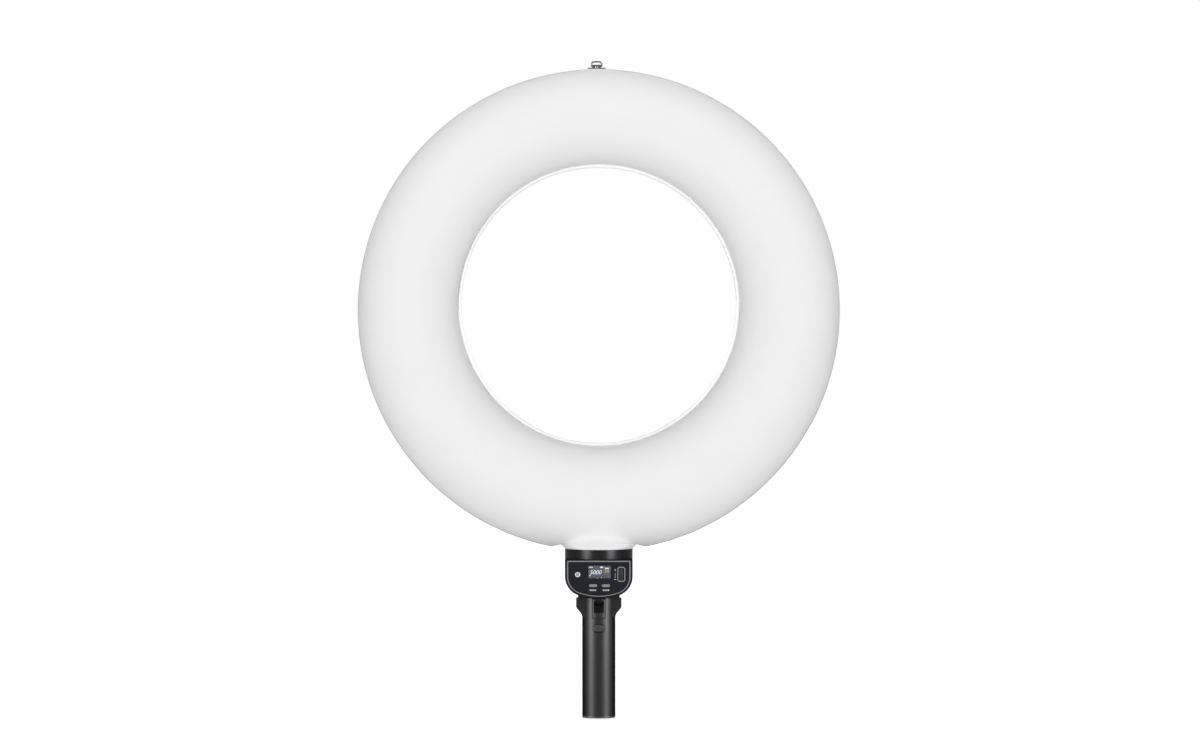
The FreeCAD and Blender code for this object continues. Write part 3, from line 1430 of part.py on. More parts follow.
def make_grip():
    top = GRIP_TOP
    low = S.cap_height
    radius = S.grip_radius
    wing = S.wing_half_width
    shell = Body("grip_shell_body")
    shell.pad("XY", [("circle", 0, 0, radius)], (low, top))
    flare_top = WING_BOTTOM - S.flare_drop
    flare_x = radius + S.flare_width
    bevel_x = wing - S.wing_bevel
    bevel_z = WING_BOTTOM - S.wing_bevel_height
    wings = [
        (-radius, flare_top - S.flare_height),
        (radius, flare_top - S.flare_height, -S.flare_bend),
        (flare_x, flare_top),
        (bevel_x, bevel_z),
        (wing, WING_BOTTOM),
        (wing, top),
        (-wing, top),
        (-wing, WING_BOTTOM),
        (-bevel_x, bevel_z),
        (-flare_x, flare_top, -S.flare_bend),
    ]
    shell.pad("XZ", [wings], both(S.wing_half_depth))
    shell.soften("Fillet", S.wing_edge, lambda edge: is_wing_edge(edge, wing.value))
    shell.pocket("XY", [("circle", 0, 0, radius - S.grip_wall)], (low - 1, CAVITY_TOP))
    mouth = rectangle(
        both(S.plug_half_width + S.dock_wall + S.fit_gap),
        both(S.plug_half_depth + S.dock_wall + S.fit_gap),
    )
    shell.pocket("XY", [mouth], (CAVITY_TOP - 1, top + 1))
    side = S.latch_half_width + S.latch_side_gap
    window = rectangle(both(side), (LATCH_BOTTOM - S.latch_swing_gap, top + 1))
    shell.pocket("XZ", [window], (-radius - 1, -S.plug_half_depth - S.dock_wall))
    grow = S.latch_swing_gap * 2
    pad_hole = slot(0, PAD_Z, S.pad_width + S.latch_side_gap * 2, S.pad_height + grow)
    shell.pocket("XZ", [pad_hole], (-radius - 1, -radius + S.grip_wall + 3))
    centre = (S.latch_pivot_y, LATCH_PIVOT_Z)
    reach = both(pin_reach())
    pin_hole = rod("grip_pin_hole", S.latch_pin + S.running_gap, "X", centre, reach)
    subpart("grip_shell", cut("grip_shell_shape", shell.body, pin_hole))
    subpart("latch_pin", rod("latch_pin_shape", S.latch_pin, "X", centre, reach))


def pin_reach():
    """Half the latch pin's length, so that its ends stay inside the grip's wall."""
    front = S.latch_pivot_y - S.latch_pin - S.running_gap
    return root(S.grip_radius * S.grip_radius - front * front) - 0.4


def is_wing_edge(edge, wing):
    """Whether an edge stands upright at the outside of a wing."""
    spots = edge.Vertexes
    outside = all(abs(abs(corner.X) - wing) < 1e-6 for corner in spots)
    return outside and abs(spots[0].Z - spots[-1].Z) > 1


def make_cap():
    cap = Body("end_cap_body")
    low = S.cap_height
    plug = S.grip_radius - S.grip_wall - S.fit_gap
    cap.pad("XY", [("circle", 0, 0, S.grip_radius)], (0, low))
    cap.soften("Fillet", S.cap_edge, lambda edge: abs(edge.CenterOfMass.z) < 1e-6)
    cap.pad("XY", [("circle", 0, 0, plug)], (low - 0.5, low + S.cap_plug_height))
    cap.pocket("XY", [("circle", 0, 0, S.insert_radius)], (-1, low + S.cap_plug_height + 1))
    subpart("grip_end_cap", cap.body)
    top = low + S.cap_plug_height
    insert = Body("stand_insert_body")
    insert.pad("XY", [("circle", 0, 0, S.insert_radius)], (0, top))
    insert.pocket("XY", [("circle", 0, 0, S.thread_radius)], (-1, S.insert_length))
    subpart("stand_insert", insert.body)


# Latch


def sleeve(name, outer, inner, height):
    whole = rod(f"{name}_whole", outer, "Z", (0, 0), height)
    past = (size(height[0]) - 1, size(height[1]) + 1)
    return cut(name, whole, rod(f"{name}_hole", inner, "Z", (0, 0), past))


def make_latch():
    outside = S.grip_radius - S.fit_gap
    inside = outside - S.latch_depth
    spine_out = inside + S.latch_thickness
    low = PAD_Z - S.pad_height / 2 + 0.4
    spine_ring = sleeve("latch_spine_ring", spine_out, inside, (low, LATCH_BOTTOM + 4))
    spine_room = box("latch_spine_room", both(S.latch_half_width - 1.6), (-outside - 1, 0), (0, GRIP_TOP))
    spine = common("latch_spine", spine_ring, spine_room)
    tab_ring = sleeve("latch_tab_ring", outside, inside, (LATCH_BOTTOM, LATCH_TOP))
    tab_room = box("latch_tab_room", both(S.latch_half_width), (-outside - 1, 0), (0, GRIP_TOP))
    tab = common("latch_tab", tab_ring, tab_room)
    pad_outline = slot(0, PAD_Z, S.pad_width, S.pad_height)
    pad_block = Body("latch_pad_body").pad("XZ", [pad_outline], (-S.grip_radius - 2, -inside - 0.2)).body
    proud = S.grip_radius + S.pad_proud
    pad_room = rod("latch_pad_room", proud, "Z", (0, 0), (low - 10, LATCH_BOTTOM))
    pad = common("latch_pad", pad_block, pad_room)
    centre = (S.latch_pivot_y, LATCH_PIVOT_Z)
    ear = rod("latch_ear", S.latch_pin + 0.9, "X", centre, both(S.latch_half_width / 2))
    blank = join("latch_blank", spine, tab, pad, ear)
    window = box(
        "latch_window",
        both(S.latch_window_half_width),
        (-outside - 1, 0),
        (LATCH_WINDOW_BOTTOM, LATCH_WINDOW_TOP),
    )
    bore = rod("latch_bore", S.latch_pin + S.running_gap, "X", centre, both(S.latch_half_width))
    subpart("latch_lever", cut("latch_lever_shape", blank, window, bore))
    front = -inside + S.fit_gap * 2
    length = (S.receptacle_skirt_front - front).value - 0.1 - 2 * S.spring_wire.value
    spring = coil(length, S.spring_radius.value, S.spring_wire.value, 4)
    spot = V(0, front.value + S.spring_wire.value, PAD_Z.value)
    subpart("latch_spring", ready("latch_spring_shape", spring, spot, TURNED["Y"]))


# Battery


def make_battery():
    room = S.grip_radius - S.grip_wall - S.fit_gap
    low = S.cap_height + S.cap_plug_height
    top = CELL_TOP
    cradle = sleeve("battery_cradle_shape", room, S.cell_radius + S.soft_gap, (low + 0.2, top))
    subpart("battery_cradle", cradle)
    can = rod("cell_can", S.cell_radius, "Z", (0, 0), (S.cell_bottom, top))
    nub = rod("cell_nub", S.cell_nub, "Z", (0, 0), (top, BATTERY_BOARD_BOTTOM))
    subpart("battery_cell", join("battery_cell_shape", can, nub))
    wire = S.spring_wire.value
    length = (S.cell_bottom - low).value - 2 * wire - 0.1
    spring = coil(length, S.cell_radius.value * 0.55, wire, 2)
    spot = V(0, 0, low.value + wire + 0.05)
    subpart("battery_spring", ready("battery_spring_shape", spring, spot))
    board = rod("battery_board_shape", room, "Z", (0, 0), (BATTERY_BOARD_BOTTOM, BATTERY_BOARD_TOP))
    subpart("battery_board", board)


# Build and write


def finish():
    doc.recompute()
    for thing in doc.Objects:
        if "Invalid" in thing.State or "Error" in thing.State:
            raise RuntimeError(f"{thing.Name} did not build: {thing.State}")
    for piece in PARTS:
        if piece.Shape.isNull() or not piece.Shape.isValid():
            raise RuntimeError(f"{piece.Label} has no sound shape")
    os.makedirs("parts", exist_ok=True)
    for piece in PARTS:
        piece.Shape.exportStep(f"parts/{piece.Label}.step")
        solids = len(piece.Shape.Solids)
        print(f"{piece.Label}: {solids} solid(s), {piece.Shape.Volume / 1000:.2f} cm3")
    print(len(PARTS), "sub-parts")


make_cover()
make_hoops()
make_ribs()
make_lamps()
make_saddle()
make_collar()
neck_screws = make_neck_bracket()
make_cable()
make_hanger()
make_front_shell()
make_rear_shell()
make_panel()
make_buttons()
make_dial()
make_boards()
dock_screws = make_dock()
subpart("frame_screws", group("frame_screws_shape", neck_screws + dock_screws))
make_receptacle()
make_grip()
make_cap()
make_latch()
make_battery()
finish()
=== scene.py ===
# %% [markdown]
# A soft ring light is a round white cloth body on a black control head and a hand grip. The hard parts
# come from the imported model, which fixes every place and size. Here they get their real finishes, and the
# cloth, the soft neck and the small marks are made as new meshes.

# %% Load the model and note its size
import math

import bmesh
import bpy
import numpy as np
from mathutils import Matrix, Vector


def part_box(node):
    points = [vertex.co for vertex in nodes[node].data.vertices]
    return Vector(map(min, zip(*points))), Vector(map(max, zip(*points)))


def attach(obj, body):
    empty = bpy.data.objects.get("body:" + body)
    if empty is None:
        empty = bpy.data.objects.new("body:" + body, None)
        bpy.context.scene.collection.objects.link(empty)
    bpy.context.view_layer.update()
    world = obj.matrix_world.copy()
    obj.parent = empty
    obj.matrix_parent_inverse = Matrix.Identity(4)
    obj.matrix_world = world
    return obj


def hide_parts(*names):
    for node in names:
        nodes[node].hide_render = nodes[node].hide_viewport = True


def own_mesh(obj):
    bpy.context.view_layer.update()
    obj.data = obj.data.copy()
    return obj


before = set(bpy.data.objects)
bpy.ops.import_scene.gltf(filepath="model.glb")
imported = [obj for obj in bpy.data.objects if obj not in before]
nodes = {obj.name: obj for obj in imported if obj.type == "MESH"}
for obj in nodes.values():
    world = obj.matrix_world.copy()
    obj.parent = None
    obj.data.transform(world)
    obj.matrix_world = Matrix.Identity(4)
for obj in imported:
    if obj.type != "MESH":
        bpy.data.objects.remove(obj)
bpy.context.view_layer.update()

MM = 0.001
print("model pieces:", len(nodes))

# %% [markdown]
# Every new piece ends the same way: its points and faces become a mesh, the mesh gets one finish, and the
# object rides on the body that carries it. Two helpers do that, one for a finished mesh and one for loose
# faces. A third adds a face that is shaded as part of a curved surface, so that a round form needs few
# faces to look round.

# %% Piece helpers


def add_mesh(name, mesh, material, body):
    """Makes a piece of this mesh, with one finish, that rides on this body."""
    mesh.materials.clear()
    mesh.materials.append(material)
    made = bpy.data.objects.new(name, mesh)
    bpy.context.scene.collection.objects.link(made)
    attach(made, body)
    return made


def add_shape(name, shape, material, body, turn_out=True):
    """Makes a piece of loose faces. With turn_out they are all turned to face outwards first."""
    if turn_out:
        bmesh.ops.recalc_face_normals(shape, faces=shape.faces)
    mesh = bpy.data.meshes.new(name)
    shape.to_mesh(mesh)
    shape.free()
    return add_mesh(name, mesh, material, body)


def smooth_face(shape, corners):
    """Adds one face between these points, shaded as part of a curved surface."""
    face = shape.faces.new(corners)
    face.smooth = True
    return face


print("helpers are ready")

# %% [markdown]
# The camera stands five metres in front, level with the lower part of the ring, with a long lens. A long
# lens keeps the ring round and the grip straight, as product photographs do. The frame is 1.2 metres wide
# at the ring, so a millimetre is one pixel of a 1200 pixel picture.

# %% Camera
VIEW_DISTANCE = 5.0
VIEW_WIDTH = 1.2
VIEW_X = 1.2 * MM
VIEW_Z = 339.9 * MM
camera_data = bpy.data.cameras.new("camera")
camera = bpy.data.objects.new("camera", camera_data)
bpy.context.scene.collection.objects.link(camera)
camera_data.sensor_fit = "HORIZONTAL"
camera_data.sensor_width = 36
camera_data.lens = camera_data.sensor_width * VIEW_DISTANCE / VIEW_WIDTH
camera_data.clip_end = 60
camera.location = (VIEW_X, -VIEW_DISTANCE, VIEW_Z)
camera.rotation_euler = (math.radians(90), 0, 0)
bpy.context.scene.camera = camera
bpy.context.scene.view_settings.view_transform = "Standard"
print("lens", round(camera_data.lens), "mm")

# %% [markdown]
# The studio is white all round. What the camera, a polished face or a clear pane sees is plain white, and
# what falls on the object is a softer grey sky, so white cloth keeps its shading.

# %% Surroundings
SKY = 0.43


def seen_directly(tree):
    """A value of 1 for camera, glossy and transmitted rays, and 0 for the light that falls on things."""
    path = tree.nodes.new("ShaderNodeLightPath")
    total = None
    for ray in ("Is Camera Ray", "Is Glossy Ray", "Is Transmission Ray"):
        if total is None:
            total = path.outputs[ray]
            continue
        either = tree.nodes.new("ShaderNodeMath")
        either.operation = "MAXIMUM"
        tree.links.new(total, either.inputs[0])
        tree.links.new(path.outputs[ray], either.inputs[1])
        total = either.outputs[0]
    return total


world = bpy.data.worlds.new("studio")
bpy.context.scene.world = world
world.use_nodes = True
sky = world.node_tree
sky.nodes.clear()
soft = sky.nodes.new("ShaderNodeBackground")
soft.inputs["Color"].default_value = (SKY, SKY, SKY * 1.01, 1)
white = sky.nodes.new("ShaderNodeBackground")
white.inputs["Color"].default_value = (1, 1, 1, 1)
choose = sky.nodes.new("ShaderNodeMixShader")
out = sky.nodes.new("ShaderNodeOutputWorld")
sky.links.new(seen_directly(sky), choose.inputs[0])
sky.links.new(soft.outputs[0], choose.inputs[1])
sky.links.new(white.outputs[0], choose.inputs[2])
sky.links.new(choose.outputs[0], out.inputs[0])
print("sky level", SKY)

# %% [markdown]
# The floor is a wide pale disc. Its own colour is white, and a little of its light is added for the
# camera alone, so it blends into the background while the soft shadow under the light stays.

# %% Floor
FLOOR_RADIUS = 30
FLOOR_DROP = 0.2 * MM
FLOOR_LIFT = 0.62
floor_mesh = bpy.data.meshes.new("floor")
shape = bmesh.new()
bmesh.ops.create_circle(shape, cap_ends=True, radius=FLOOR_RADIUS, segments=96)
shape.to_mesh(floor_mesh)
shape.free()
floor = bpy.data.objects.new("floor", floor_mesh)
floor.location.z = -FLOOR_DROP
bpy.context.scene.collection.objects.link(floor)
pale = bpy.data.materials.new("floor_white")
pale.use_nodes = True
tree = pale.node_tree
tree.nodes.clear()
matt = tree.nodes.new("ShaderNodeBsdfDiffuse")
matt.inputs["Color"].default_value = (0.9, 0.9, 0.9, 1)
lift = tree.nodes.new("ShaderNodeEmission")
lift.inputs["Color"].default_value = (1, 1, 1, 1)
scale = tree.nodes.new("ShaderNodeMath")
scale.operation = "MULTIPLY"
scale.inputs[1].default_value = FLOOR_LIFT
both = tree.nodes.new("ShaderNodeAddShader")
end = tree.nodes.new("ShaderNodeOutputMaterial")
tree.links.new(seen_directly(tree), scale.inputs[0])
tree.links.new(scale.outputs[0], lift.inputs["Strength"])
tree.links.new(matt.outputs[0], both.inputs[0])
tree.links.new(lift.outputs[0], both.inputs[1])
tree.links.new(both.outputs[0], end.inputs[0])
floor_mesh.materials.append(pale)
print("floor radius", FLOOR_RADIUS, "m")

# %% [markdown]
# A broad light beside the camera gives the cloth its soft roundness, and a weak one overhead lifts its
# top edge. A third one shapes the back, for views from behind. None of the three makes a highlight of its
# own. Two upright strip lights, left and right of the camera, draw the two long highlights on the grip
# and the collar. They are seen in reflections only, so the cloth keeps its plain, even light.

# %% Lamps
KEY_STRENGTH = 1.75
KEY_RISE = 5
ZENITH_STRENGTH = 0.45
BACK_STRENGTH = 1.1


def lamp(name, kind, strength, **settings):
    """A lamp with these settings of its own."""
    data = bpy.data.lights.new(name, kind)
    data.energy = strength
    for setting, value in settings.items():
        setattr(data, setting, value)
    made = bpy.data.objects.new(name, data)
    bpy.context.scene.collection.objects.link(made)
    return made


key = lamp("key", "SUN", KEY_STRENGTH, angle=math.radians(25))
key.rotation_euler = (math.radians(90 - KEY_RISE), 0, 0)
zenith = lamp("zenith", "SUN", ZENITH_STRENGTH, angle=math.radians(15))
back = lamp("back", "SUN", BACK_STRENGTH, angle=math.radians(25))
back.rotation_euler = (math.radians(-80), 0, 0)
for sun in (key, zenith, back):
    sun.visible_glossy = False
STRIP_DISTANCE = 1.3
STRIP_WIDTH = 0.62
STRIP_HEIGHT = 0.95
STRIP_Z = 0.58
STRIP_AIM_Z = 0.25
STRIP_RADIANCE = 48
STRIPS = {"left": -55, "right": 55}
for name, turn in STRIPS.items():
    watts = STRIP_RADIANCE * math.pi * STRIP_WIDTH * STRIP_HEIGHT
    strip = lamp(f"strip_{name}", "AREA", watts, shape="RECTANGLE", size=STRIP_WIDTH, size_y=STRIP_HEIGHT)
    turn = math.radians(turn)
    strip.location = (STRIP_DISTANCE * math.sin(turn), -STRIP_DISTANCE * math.cos(turn), STRIP_Z)
    aim = Vector((0, 0, STRIP_AIM_Z)) - strip.location
    strip.rotation_euler = aim.to_track_quat("-Z", "Y").to_euler()
    strip.visible_diffuse = False
    strip.visible_transmission = False
    strip.visible_camera = False

# %% [markdown]
# Every finish starts the same way: a colour that varies a little, a grain that breaks up the gloss, and a
# fine bump of real depth. One helper makes that, and each finish says how large its grain is in
# millimetres.

# %% Finish helper
PATCH = 40
SMOOTHEST = 0.02


def finish(name, colour, rough, grain=0.6, depth=0.01, tone=0.08, gloss=0.05, **sockets):
    """A finish with a grain and depth in millimetres. Tone and gloss: how far colour and roughness vary."""
    material = bpy.data.materials.new(name)
    material.use_nodes = True
    tree = material.node_tree
    shader = tree.nodes["Principled BSDF"]
    shader.inputs["Base Color"].default_value = (*colour, 1)
    for socket, value in sockets.items():
        shader.inputs[socket.replace("_", " ")].default_value = value
    where = tree.nodes.new("ShaderNodeTexCoord")
    noise = tree.nodes.new("ShaderNodeTexNoise")
    noise.inputs["Scale"].default_value = 1 / (grain * MM)
    noise.inputs["Detail"].default_value = 3
    tree.links.new(where.outputs["Object"], noise.inputs["Vector"])
    patches = tree.nodes.new("ShaderNodeTexNoise")
    patches.inputs["Scale"].default_value = 1 / (PATCH * MM)
    patches.inputs["Detail"].default_value = 2
    tree.links.new(where.outputs["Object"], patches.inputs["Vector"])
    tones = tree.nodes.new("ShaderNodeMix")
    tones.data_type = "RGBA"
    tones.inputs["A"].default_value = (*[c * (1 - tone) for c in colour], 1)
    tones.inputs["B"].default_value = (*[min(1, c * (1 + tone)) for c in colour], 1)
    tree.links.new(patches.outputs["Fac"], tones.inputs["Factor"])
    tree.links.new(tones.outputs["Result"], shader.inputs["Base Color"])
    wear = tree.nodes.new("ShaderNodeMapRange")
    wear.inputs["To Min"].default_value = max(SMOOTHEST, rough - gloss)
    wear.inputs["To Max"].default_value = min(1, rough + gloss)
    tree.links.new(noise.outputs["Fac"], wear.inputs["Value"])
    tree.links.new(wear.outputs["Result"], shader.inputs["Roughness"])
    bump = tree.nodes.new("ShaderNodeBump")
    bump.inputs["Distance"].default_value = depth * MM
    tree.links.new(noise.outputs["Fac"], bump.inputs["Height"])
    tree.links.new(bump.outputs["Normal"], shader.inputs["Normal"])
    return material


print("finish helper is ready")

# %% [markdown]
# Three smaller helpers go with it. One sets how a metal shines at its edge, one rounds the sharp edges of
# a piece of the model, and one gives pieces of the model their finish. Rounding is done with modifiers,
# which leave the model's own mesh as it is.

# %% Helpers for the model's pieces


def tint_edges(material, level):
    """Sets how bright a metallic finish gets where it is seen at a low angle."""
    shader = material.node_tree.nodes["Principled BSDF"]
    shader.inputs["Specular Tint"].default_value = (level, level, level, 1)


def soften(width, *names):
    """Rounds the sharp edges of the model's pieces by this width in millimetres, to catch a line of light."""
    for name in names:
        piece = nodes[name]
        weld = piece.modifiers.new("weld", "WELD")
        weld.merge_threshold = 0.002 * MM
        edge = piece.modifiers.new("soft_edge", "BEVEL")
        edge.width = width * MM
        edge.segments = 2
        edge.limit_method = "ANGLE"
        edge.angle_limit = math.radians(40)
        even = piece.modifiers.new("even_shading", "WEIGHTED_NORMAL")
        even.mode = "FACE_AREA"
        even.weight = 90


def dress(material, *names):
    """Gives the model's pieces a finish."""
    for name in names:
        mesh = nodes[name].data
        mesh.materials.clear()
        mesh.materials.append(material)
    print(material.name, "->", ", ".join(names))


print("helpers for the model's pieces are ready")

# %% [markdown]
# The grip is a black tube with a satin, faintly metallic coat. Its highlights are long and soft, and its
# edges stay dark. A metal shader with a dark colour and a dark edge tint gives both.

# %% Blacks
grip_black = finish("grip_black", (0.017, 0.017, 0.0175), 0.4, grain=0.35, depth=0.006, Metallic=1)
tint_edges(grip_black, 0.25)
dress(grip_black, "grip_shell")
latch_black = finish("latch_black", (0.019, 0.019, 0.0195), 0.4, grain=0.3, depth=0.008, Metallic=1)
tint_edges(latch_black, 0.3)
dress(latch_black, "latch_lever")
cap_black = finish("cap_black", (0.016, 0.016, 0.017), 0.45, grain=0.4, depth=0.01, Specular_IOR_Level=0.3)
dress(cap_black, "grip_end_cap")
half_metal = {"Metallic": 0.5, "Specular_IOR_Level": 0}
satin_black = finish("satin_black", (0.012, 0.012, 0.013), 0.45, grain=0.45, depth=0.01, **half_metal)
tint_edges(satin_black, 0.3)
dress(satin_black, "head_front_shell", "head_rear_shell")
gloss_black = finish(
    "gloss_black", (0.014, 0.014, 0.0145), 0.34, grain=2, depth=0.001, gloss=0.01, **half_metal
)
tint_edges(gloss_black, 0.6)
dress(gloss_black, "head_collar")
panel_black = finish("panel_black", (0.013, 0.014, 0.018), 0.4, grain=0.25, depth=0.003, **half_metal)
dress(panel_black, "face_panel")
frame_black = finish("frame_black", (0.01, 0.01, 0.01), 0.55, grain=0.5, depth=0.02, Specular_IOR_Level=0.1)
dress(frame_black, "dock_plug", "dock_receptacle", "battery_cradle", "dial_bracket")
dial_rubber = finish(
    "dial_rubber", (0.045, 0.045, 0.046), 0.6, grain=0.3, depth=0.02, Specular_IOR_Level=0.05
)
dress(dial_rubber, "dial_wheel")
button_dark = finish(
    "button_dark", (0.012, 0.012, 0.013), 0.4, grain=0.3, depth=0.004, Specular_IOR_Level=0.3
)
dress(button_dark, "power_button")

# %% [markdown]
# No moulded edge is quite sharp. A fine rounding makes each one catch a thin line of light, as in the
# photograph.

# %% Rounded edges
soften(0.9, "head_rear_shell")
soften(0.35, "head_collar", "grip_end_cap")
soften(0.3, "latch_lever", "power_button", "key_left", "key_right")
soften(0.25, "head_front_shell")

# %% [markdown]
# Greys on the head: a thin light line round the panel and the dial, and two small grey keys. The
# panel's line is a trim of the model, and its light grey is a painted highlight: the light that a
# chamfered edge catches.

# %% Greys
# The light grey of the panel's trim is a painted highlight, the line of light that a chamfered edge catches.
grey_trim = finish("grey_trim", (0.24, 0.245, 0.25), 0.35, grain=0.3, depth=0.003, Specular_IOR_Level=0.2)
dress(grey_trim, "face_trim", "dial_bezel")
key_grey = finish("key_grey", (0.17, 0.17, 0.175), 0.45, grain=0.25, depth=0.006)
dress(key_grey, "key_left", "key_right")

# %% [markdown]
# Whites: the moulded rim round the hole, the boards inside and the plugs of the lead.

# %% Whites
white_rim = finish("white_rim", (0.9, 0.9, 0.905), 0.42, grain=0.6, depth=0.004, tone=0.01, gloss=0.02)
dress(white_rim, "hole_rim")
board_white = finish("board_white", (0.82, 0.83, 0.82), 0.45, grain=0.5, depth=0.005)
dress(board_white, "lamp_board_upper_right", "lamp_board_upper_left")
dress(board_white, "lamp_board_lower_right", "lamp_board_lower_left")
connector_white = finish("connector_white", (0.75, 0.72, 0.62), 0.5, grain=0.4, depth=0.01)
dress(connector_white, "cable_plugs")
clear_frame = finish("clear_frame", (0.72, 0.74, 0.75), 0.3, grain=1, depth=0.01)
dress(clear_frame, "inner_frame_hoop")
frame_plastic = finish("frame_plastic", (0.68, 0.68, 0.67), 0.5, grain=0.6, depth=0.02)
dress(frame_plastic, "frame_ribs", "neck_bracket", "hanger_block")

# %% [markdown]
# Metals: the drawn wire, the aluminium channel that cools the lamps, and the plated hanger. Bare metal
# has no colour of its own under the reflection, so its grain is what tells the kinds apart.

# %% Metals
spring_steel = finish("spring_steel", (0.5, 0.5, 0.52), 0.35, grain=0.5, depth=0.005, Metallic=1)
dress(spring_steel, "outer_frame_hoop", "latch_spring", "battery_spring")
aluminium = finish("channel_aluminium", (0.78, 0.79, 0.8), 0.4, grain=0.4, depth=0.006, Metallic=1)
dress(aluminium, "lamp_channel", "heat_sink")
bright_steel = finish("bright_steel", (0.42, 0.43, 0.45), 0.28, grain=0.4, depth=0.004, Metallic=1)
dress(bright_steel, "dial_axle", "latch_pin", "usb_socket")
hanger_steel = finish("hanger_steel", (0.08, 0.081, 0.086), 0.4, grain=0.4, depth=0.004, Metallic=1)
dress(hanger_steel, "hanger_plate", "hanger_rivets")
wire_dark = finish("wire_dark", (0.1, 0.102, 0.106), 0.42, grain=0.4, depth=0.004, Specular_IOR_Level=0.4)
dress(wire_dark, "hang_ring")
switch_steel = finish("switch_steel", (0.6, 0.6, 0.6), 0.35, grain=0.3, depth=0.004, Metallic=1)
dress(switch_steel, "tact_switches")
dark_screw = finish("dark_screw", (0.05, 0.05, 0.052), 0.35, grain=0.3, depth=0.006, Metallic=1)
dress(dark_screw, "shell_screws", "frame_screws", "board_screws")
gold_contact = finish("gold_contact", (0.85, 0.6, 0.25), 0.25, grain=0.3, depth=0.002, Metallic=1)
dress(gold_contact, "dock_contacts")
thread_brass = finish("thread_brass", (0.72, 0.54, 0.26), 0.32, grain=0.3, depth=0.004, Metallic=1)
dress(thread_brass, "stand_insert")

# %% [markdown]
# The electrics inside: two kinds of lamp under yellow domes, green boards, and the shrink-wrapped cell.

# %% Electrics
warm_phosphor = finish("warm_phosphor", (0.9, 0.66, 0.2), 0.25, grain=0.4, depth=0.003)
dress(warm_phosphor, "warm_lamps")
cool_phosphor = finish("cool_phosphor", (0.88, 0.84, 0.45), 0.25, grain=0.4, depth=0.003)
dress(cool_phosphor, "cool_lamps")
board_green = finish("board_green", (0.02, 0.15, 0.06), 0.35, grain=0.6, depth=0.01)
dress(board_green, "control_board", "driver_board", "battery_board")
ferrite = finish("ferrite", (0.05, 0.05, 0.052), 0.7, grain=0.3, depth=0.03)
dress(ferrite, "inductors")
capacitor_sleeve = finish("capacitor_sleeve", (0.02, 0.03, 0.08), 0.3, grain=0.4, depth=0.004)
dress(capacitor_sleeve, "capacitors")
cable_sheath = finish("cable_sheath", (0.03, 0.03, 0.03), 0.5, grain=0.4, depth=0.01)
dress(cable_sheath, "lamp_cable")
cell_wrap = finish("cell_wrap", (0.04, 0.18, 0.42), 0.25, grain=1, depth=0.01)
dress(cell_wrap, "battery_cell")
display_body = finish("display_body", (0.05, 0.055, 0.065), 0.5, grain=0.4, depth=0.004)
dress(display_body, "display_module")

# %% [markdown]
# The cloth is a fine white knit, pulled tight. A knit shows rows of small loops, so its bump is made of
# two crossing waves that follow the cloth: along the ring and round its section. The pitch is 1.1 by 0.8
# millimetres.

# %% Knit finish
KNIT_COLUMN = 1.1 * MM
KNIT_ROW = 0.8 * MM
KNIT_DEPTH = 0.05 * MM
KNIT_STRENGTH = 0.5


def knit(name, colour, rough):
    """A knitted finish whose loops follow the mesh's own cloth coordinates, which are in metres."""
    material = finish(name, colour, rough, grain=1.5, depth=0.01, tone=0.012, gloss=0.04)
    tree = material.node_tree
    shader = tree.nodes["Principled BSDF"]
    shader.inputs["Sheen Weight"].default_value = 0.05
    shader.inputs["Sheen Roughness"].default_value = 0.5
    shader.inputs["Specular IOR Level"].default_value = 0.05
    cloth = tree.nodes.new("ShaderNodeUVMap")
    cloth.uv_map = "cloth"
    split = tree.nodes.new("ShaderNodeSeparateXYZ")
    tree.links.new(cloth.outputs["UV"], split.inputs[0])
    loops = None
    for axis, pitch in (("X", KNIT_COLUMN), ("Y", KNIT_ROW)):
        turn = tree.nodes.new("ShaderNodeMath")
        turn.operation = "MULTIPLY"
        turn.inputs[1].default_value = 2 * math.pi / pitch
        tree.links.new(split.outputs[axis], turn.inputs[0])
        wave = tree.nodes.new("ShaderNodeMath")
        wave.operation = "SINE"
        tree.links.new(turn.outputs[0], wave.inputs[0])
        if loops is None:
            loops = wave
            continue
        cross = tree.nodes.new("ShaderNodeMath")
        cross.operation = "MULTIPLY_ADD"
        cross.inputs[2].default_value = 0.5
        tree.links.new(loops.outputs[0], cross.inputs[0])
        tree.links.new(wave.outputs[0], cross.inputs[1])
        loops = cross
    bump = tree.nodes.new("ShaderNodeBump")
    bump.inputs["Distance"].default_value = KNIT_DEPTH
    bump.inputs["Strength"].default_value = KNIT_STRENGTH
    tree.links.new(loops.outputs[0], bump.inputs["Height"])
    first = [n for n in tree.nodes if n.type == "BUMP" and n != bump][0]
    tree.links.new(first.outputs["Normal"], bump.inputs["Normal"])
    tree.links.new(bump.outputs["Normal"], shader.inputs["Normal"])
    return material


white_knit = knit("white_knit", (0.9, 0.9, 0.905), 0.75)
rear_knit = knit("rear_knit", (0.84, 0.84, 0.85), 0.75)
print("knit pitch", KNIT_COLUMN / MM, "by", KNIT_ROW / MM, "mm")

# %% [markdown]
# The cloth is stretched between the rim of the hole and a hoop at the outer edge, and the air inside
# gives it the section of a half ellipse. The hole lies five millimetres above the ring's own centre, so
# the body is a little wider at the bottom. Both numbers are read from the model, so cloth and hard parts
# always agree.

# %% The ring's measures
low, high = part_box("rear_cover")
RING_RADIUS = (high.x - low.x) / 2
RING_CENTRE = high.z - RING_RADIUS
HALF_DEPTH = high.y
rim_low, rim_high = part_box("hole_rim")
HOLE_CENTRE = (rim_low.z + rim_high.z) / 2
RIM_OVERLAP = 0.15 * MM
HOLE_RADIUS = (rim_high.x - rim_low.x) / 2 - RIM_OVERLAP
HOLE_LIFT = HOLE_CENTRE - RING_CENTRE
print("ring's centre at", round(RING_CENTRE / MM, 2), "radius", round(RING_RADIUS / MM, 1), "mm")
print("hole's radius", round(HOLE_RADIUS / MM, 1), "lift", round(HOLE_LIFT / MM, 1), "mm")

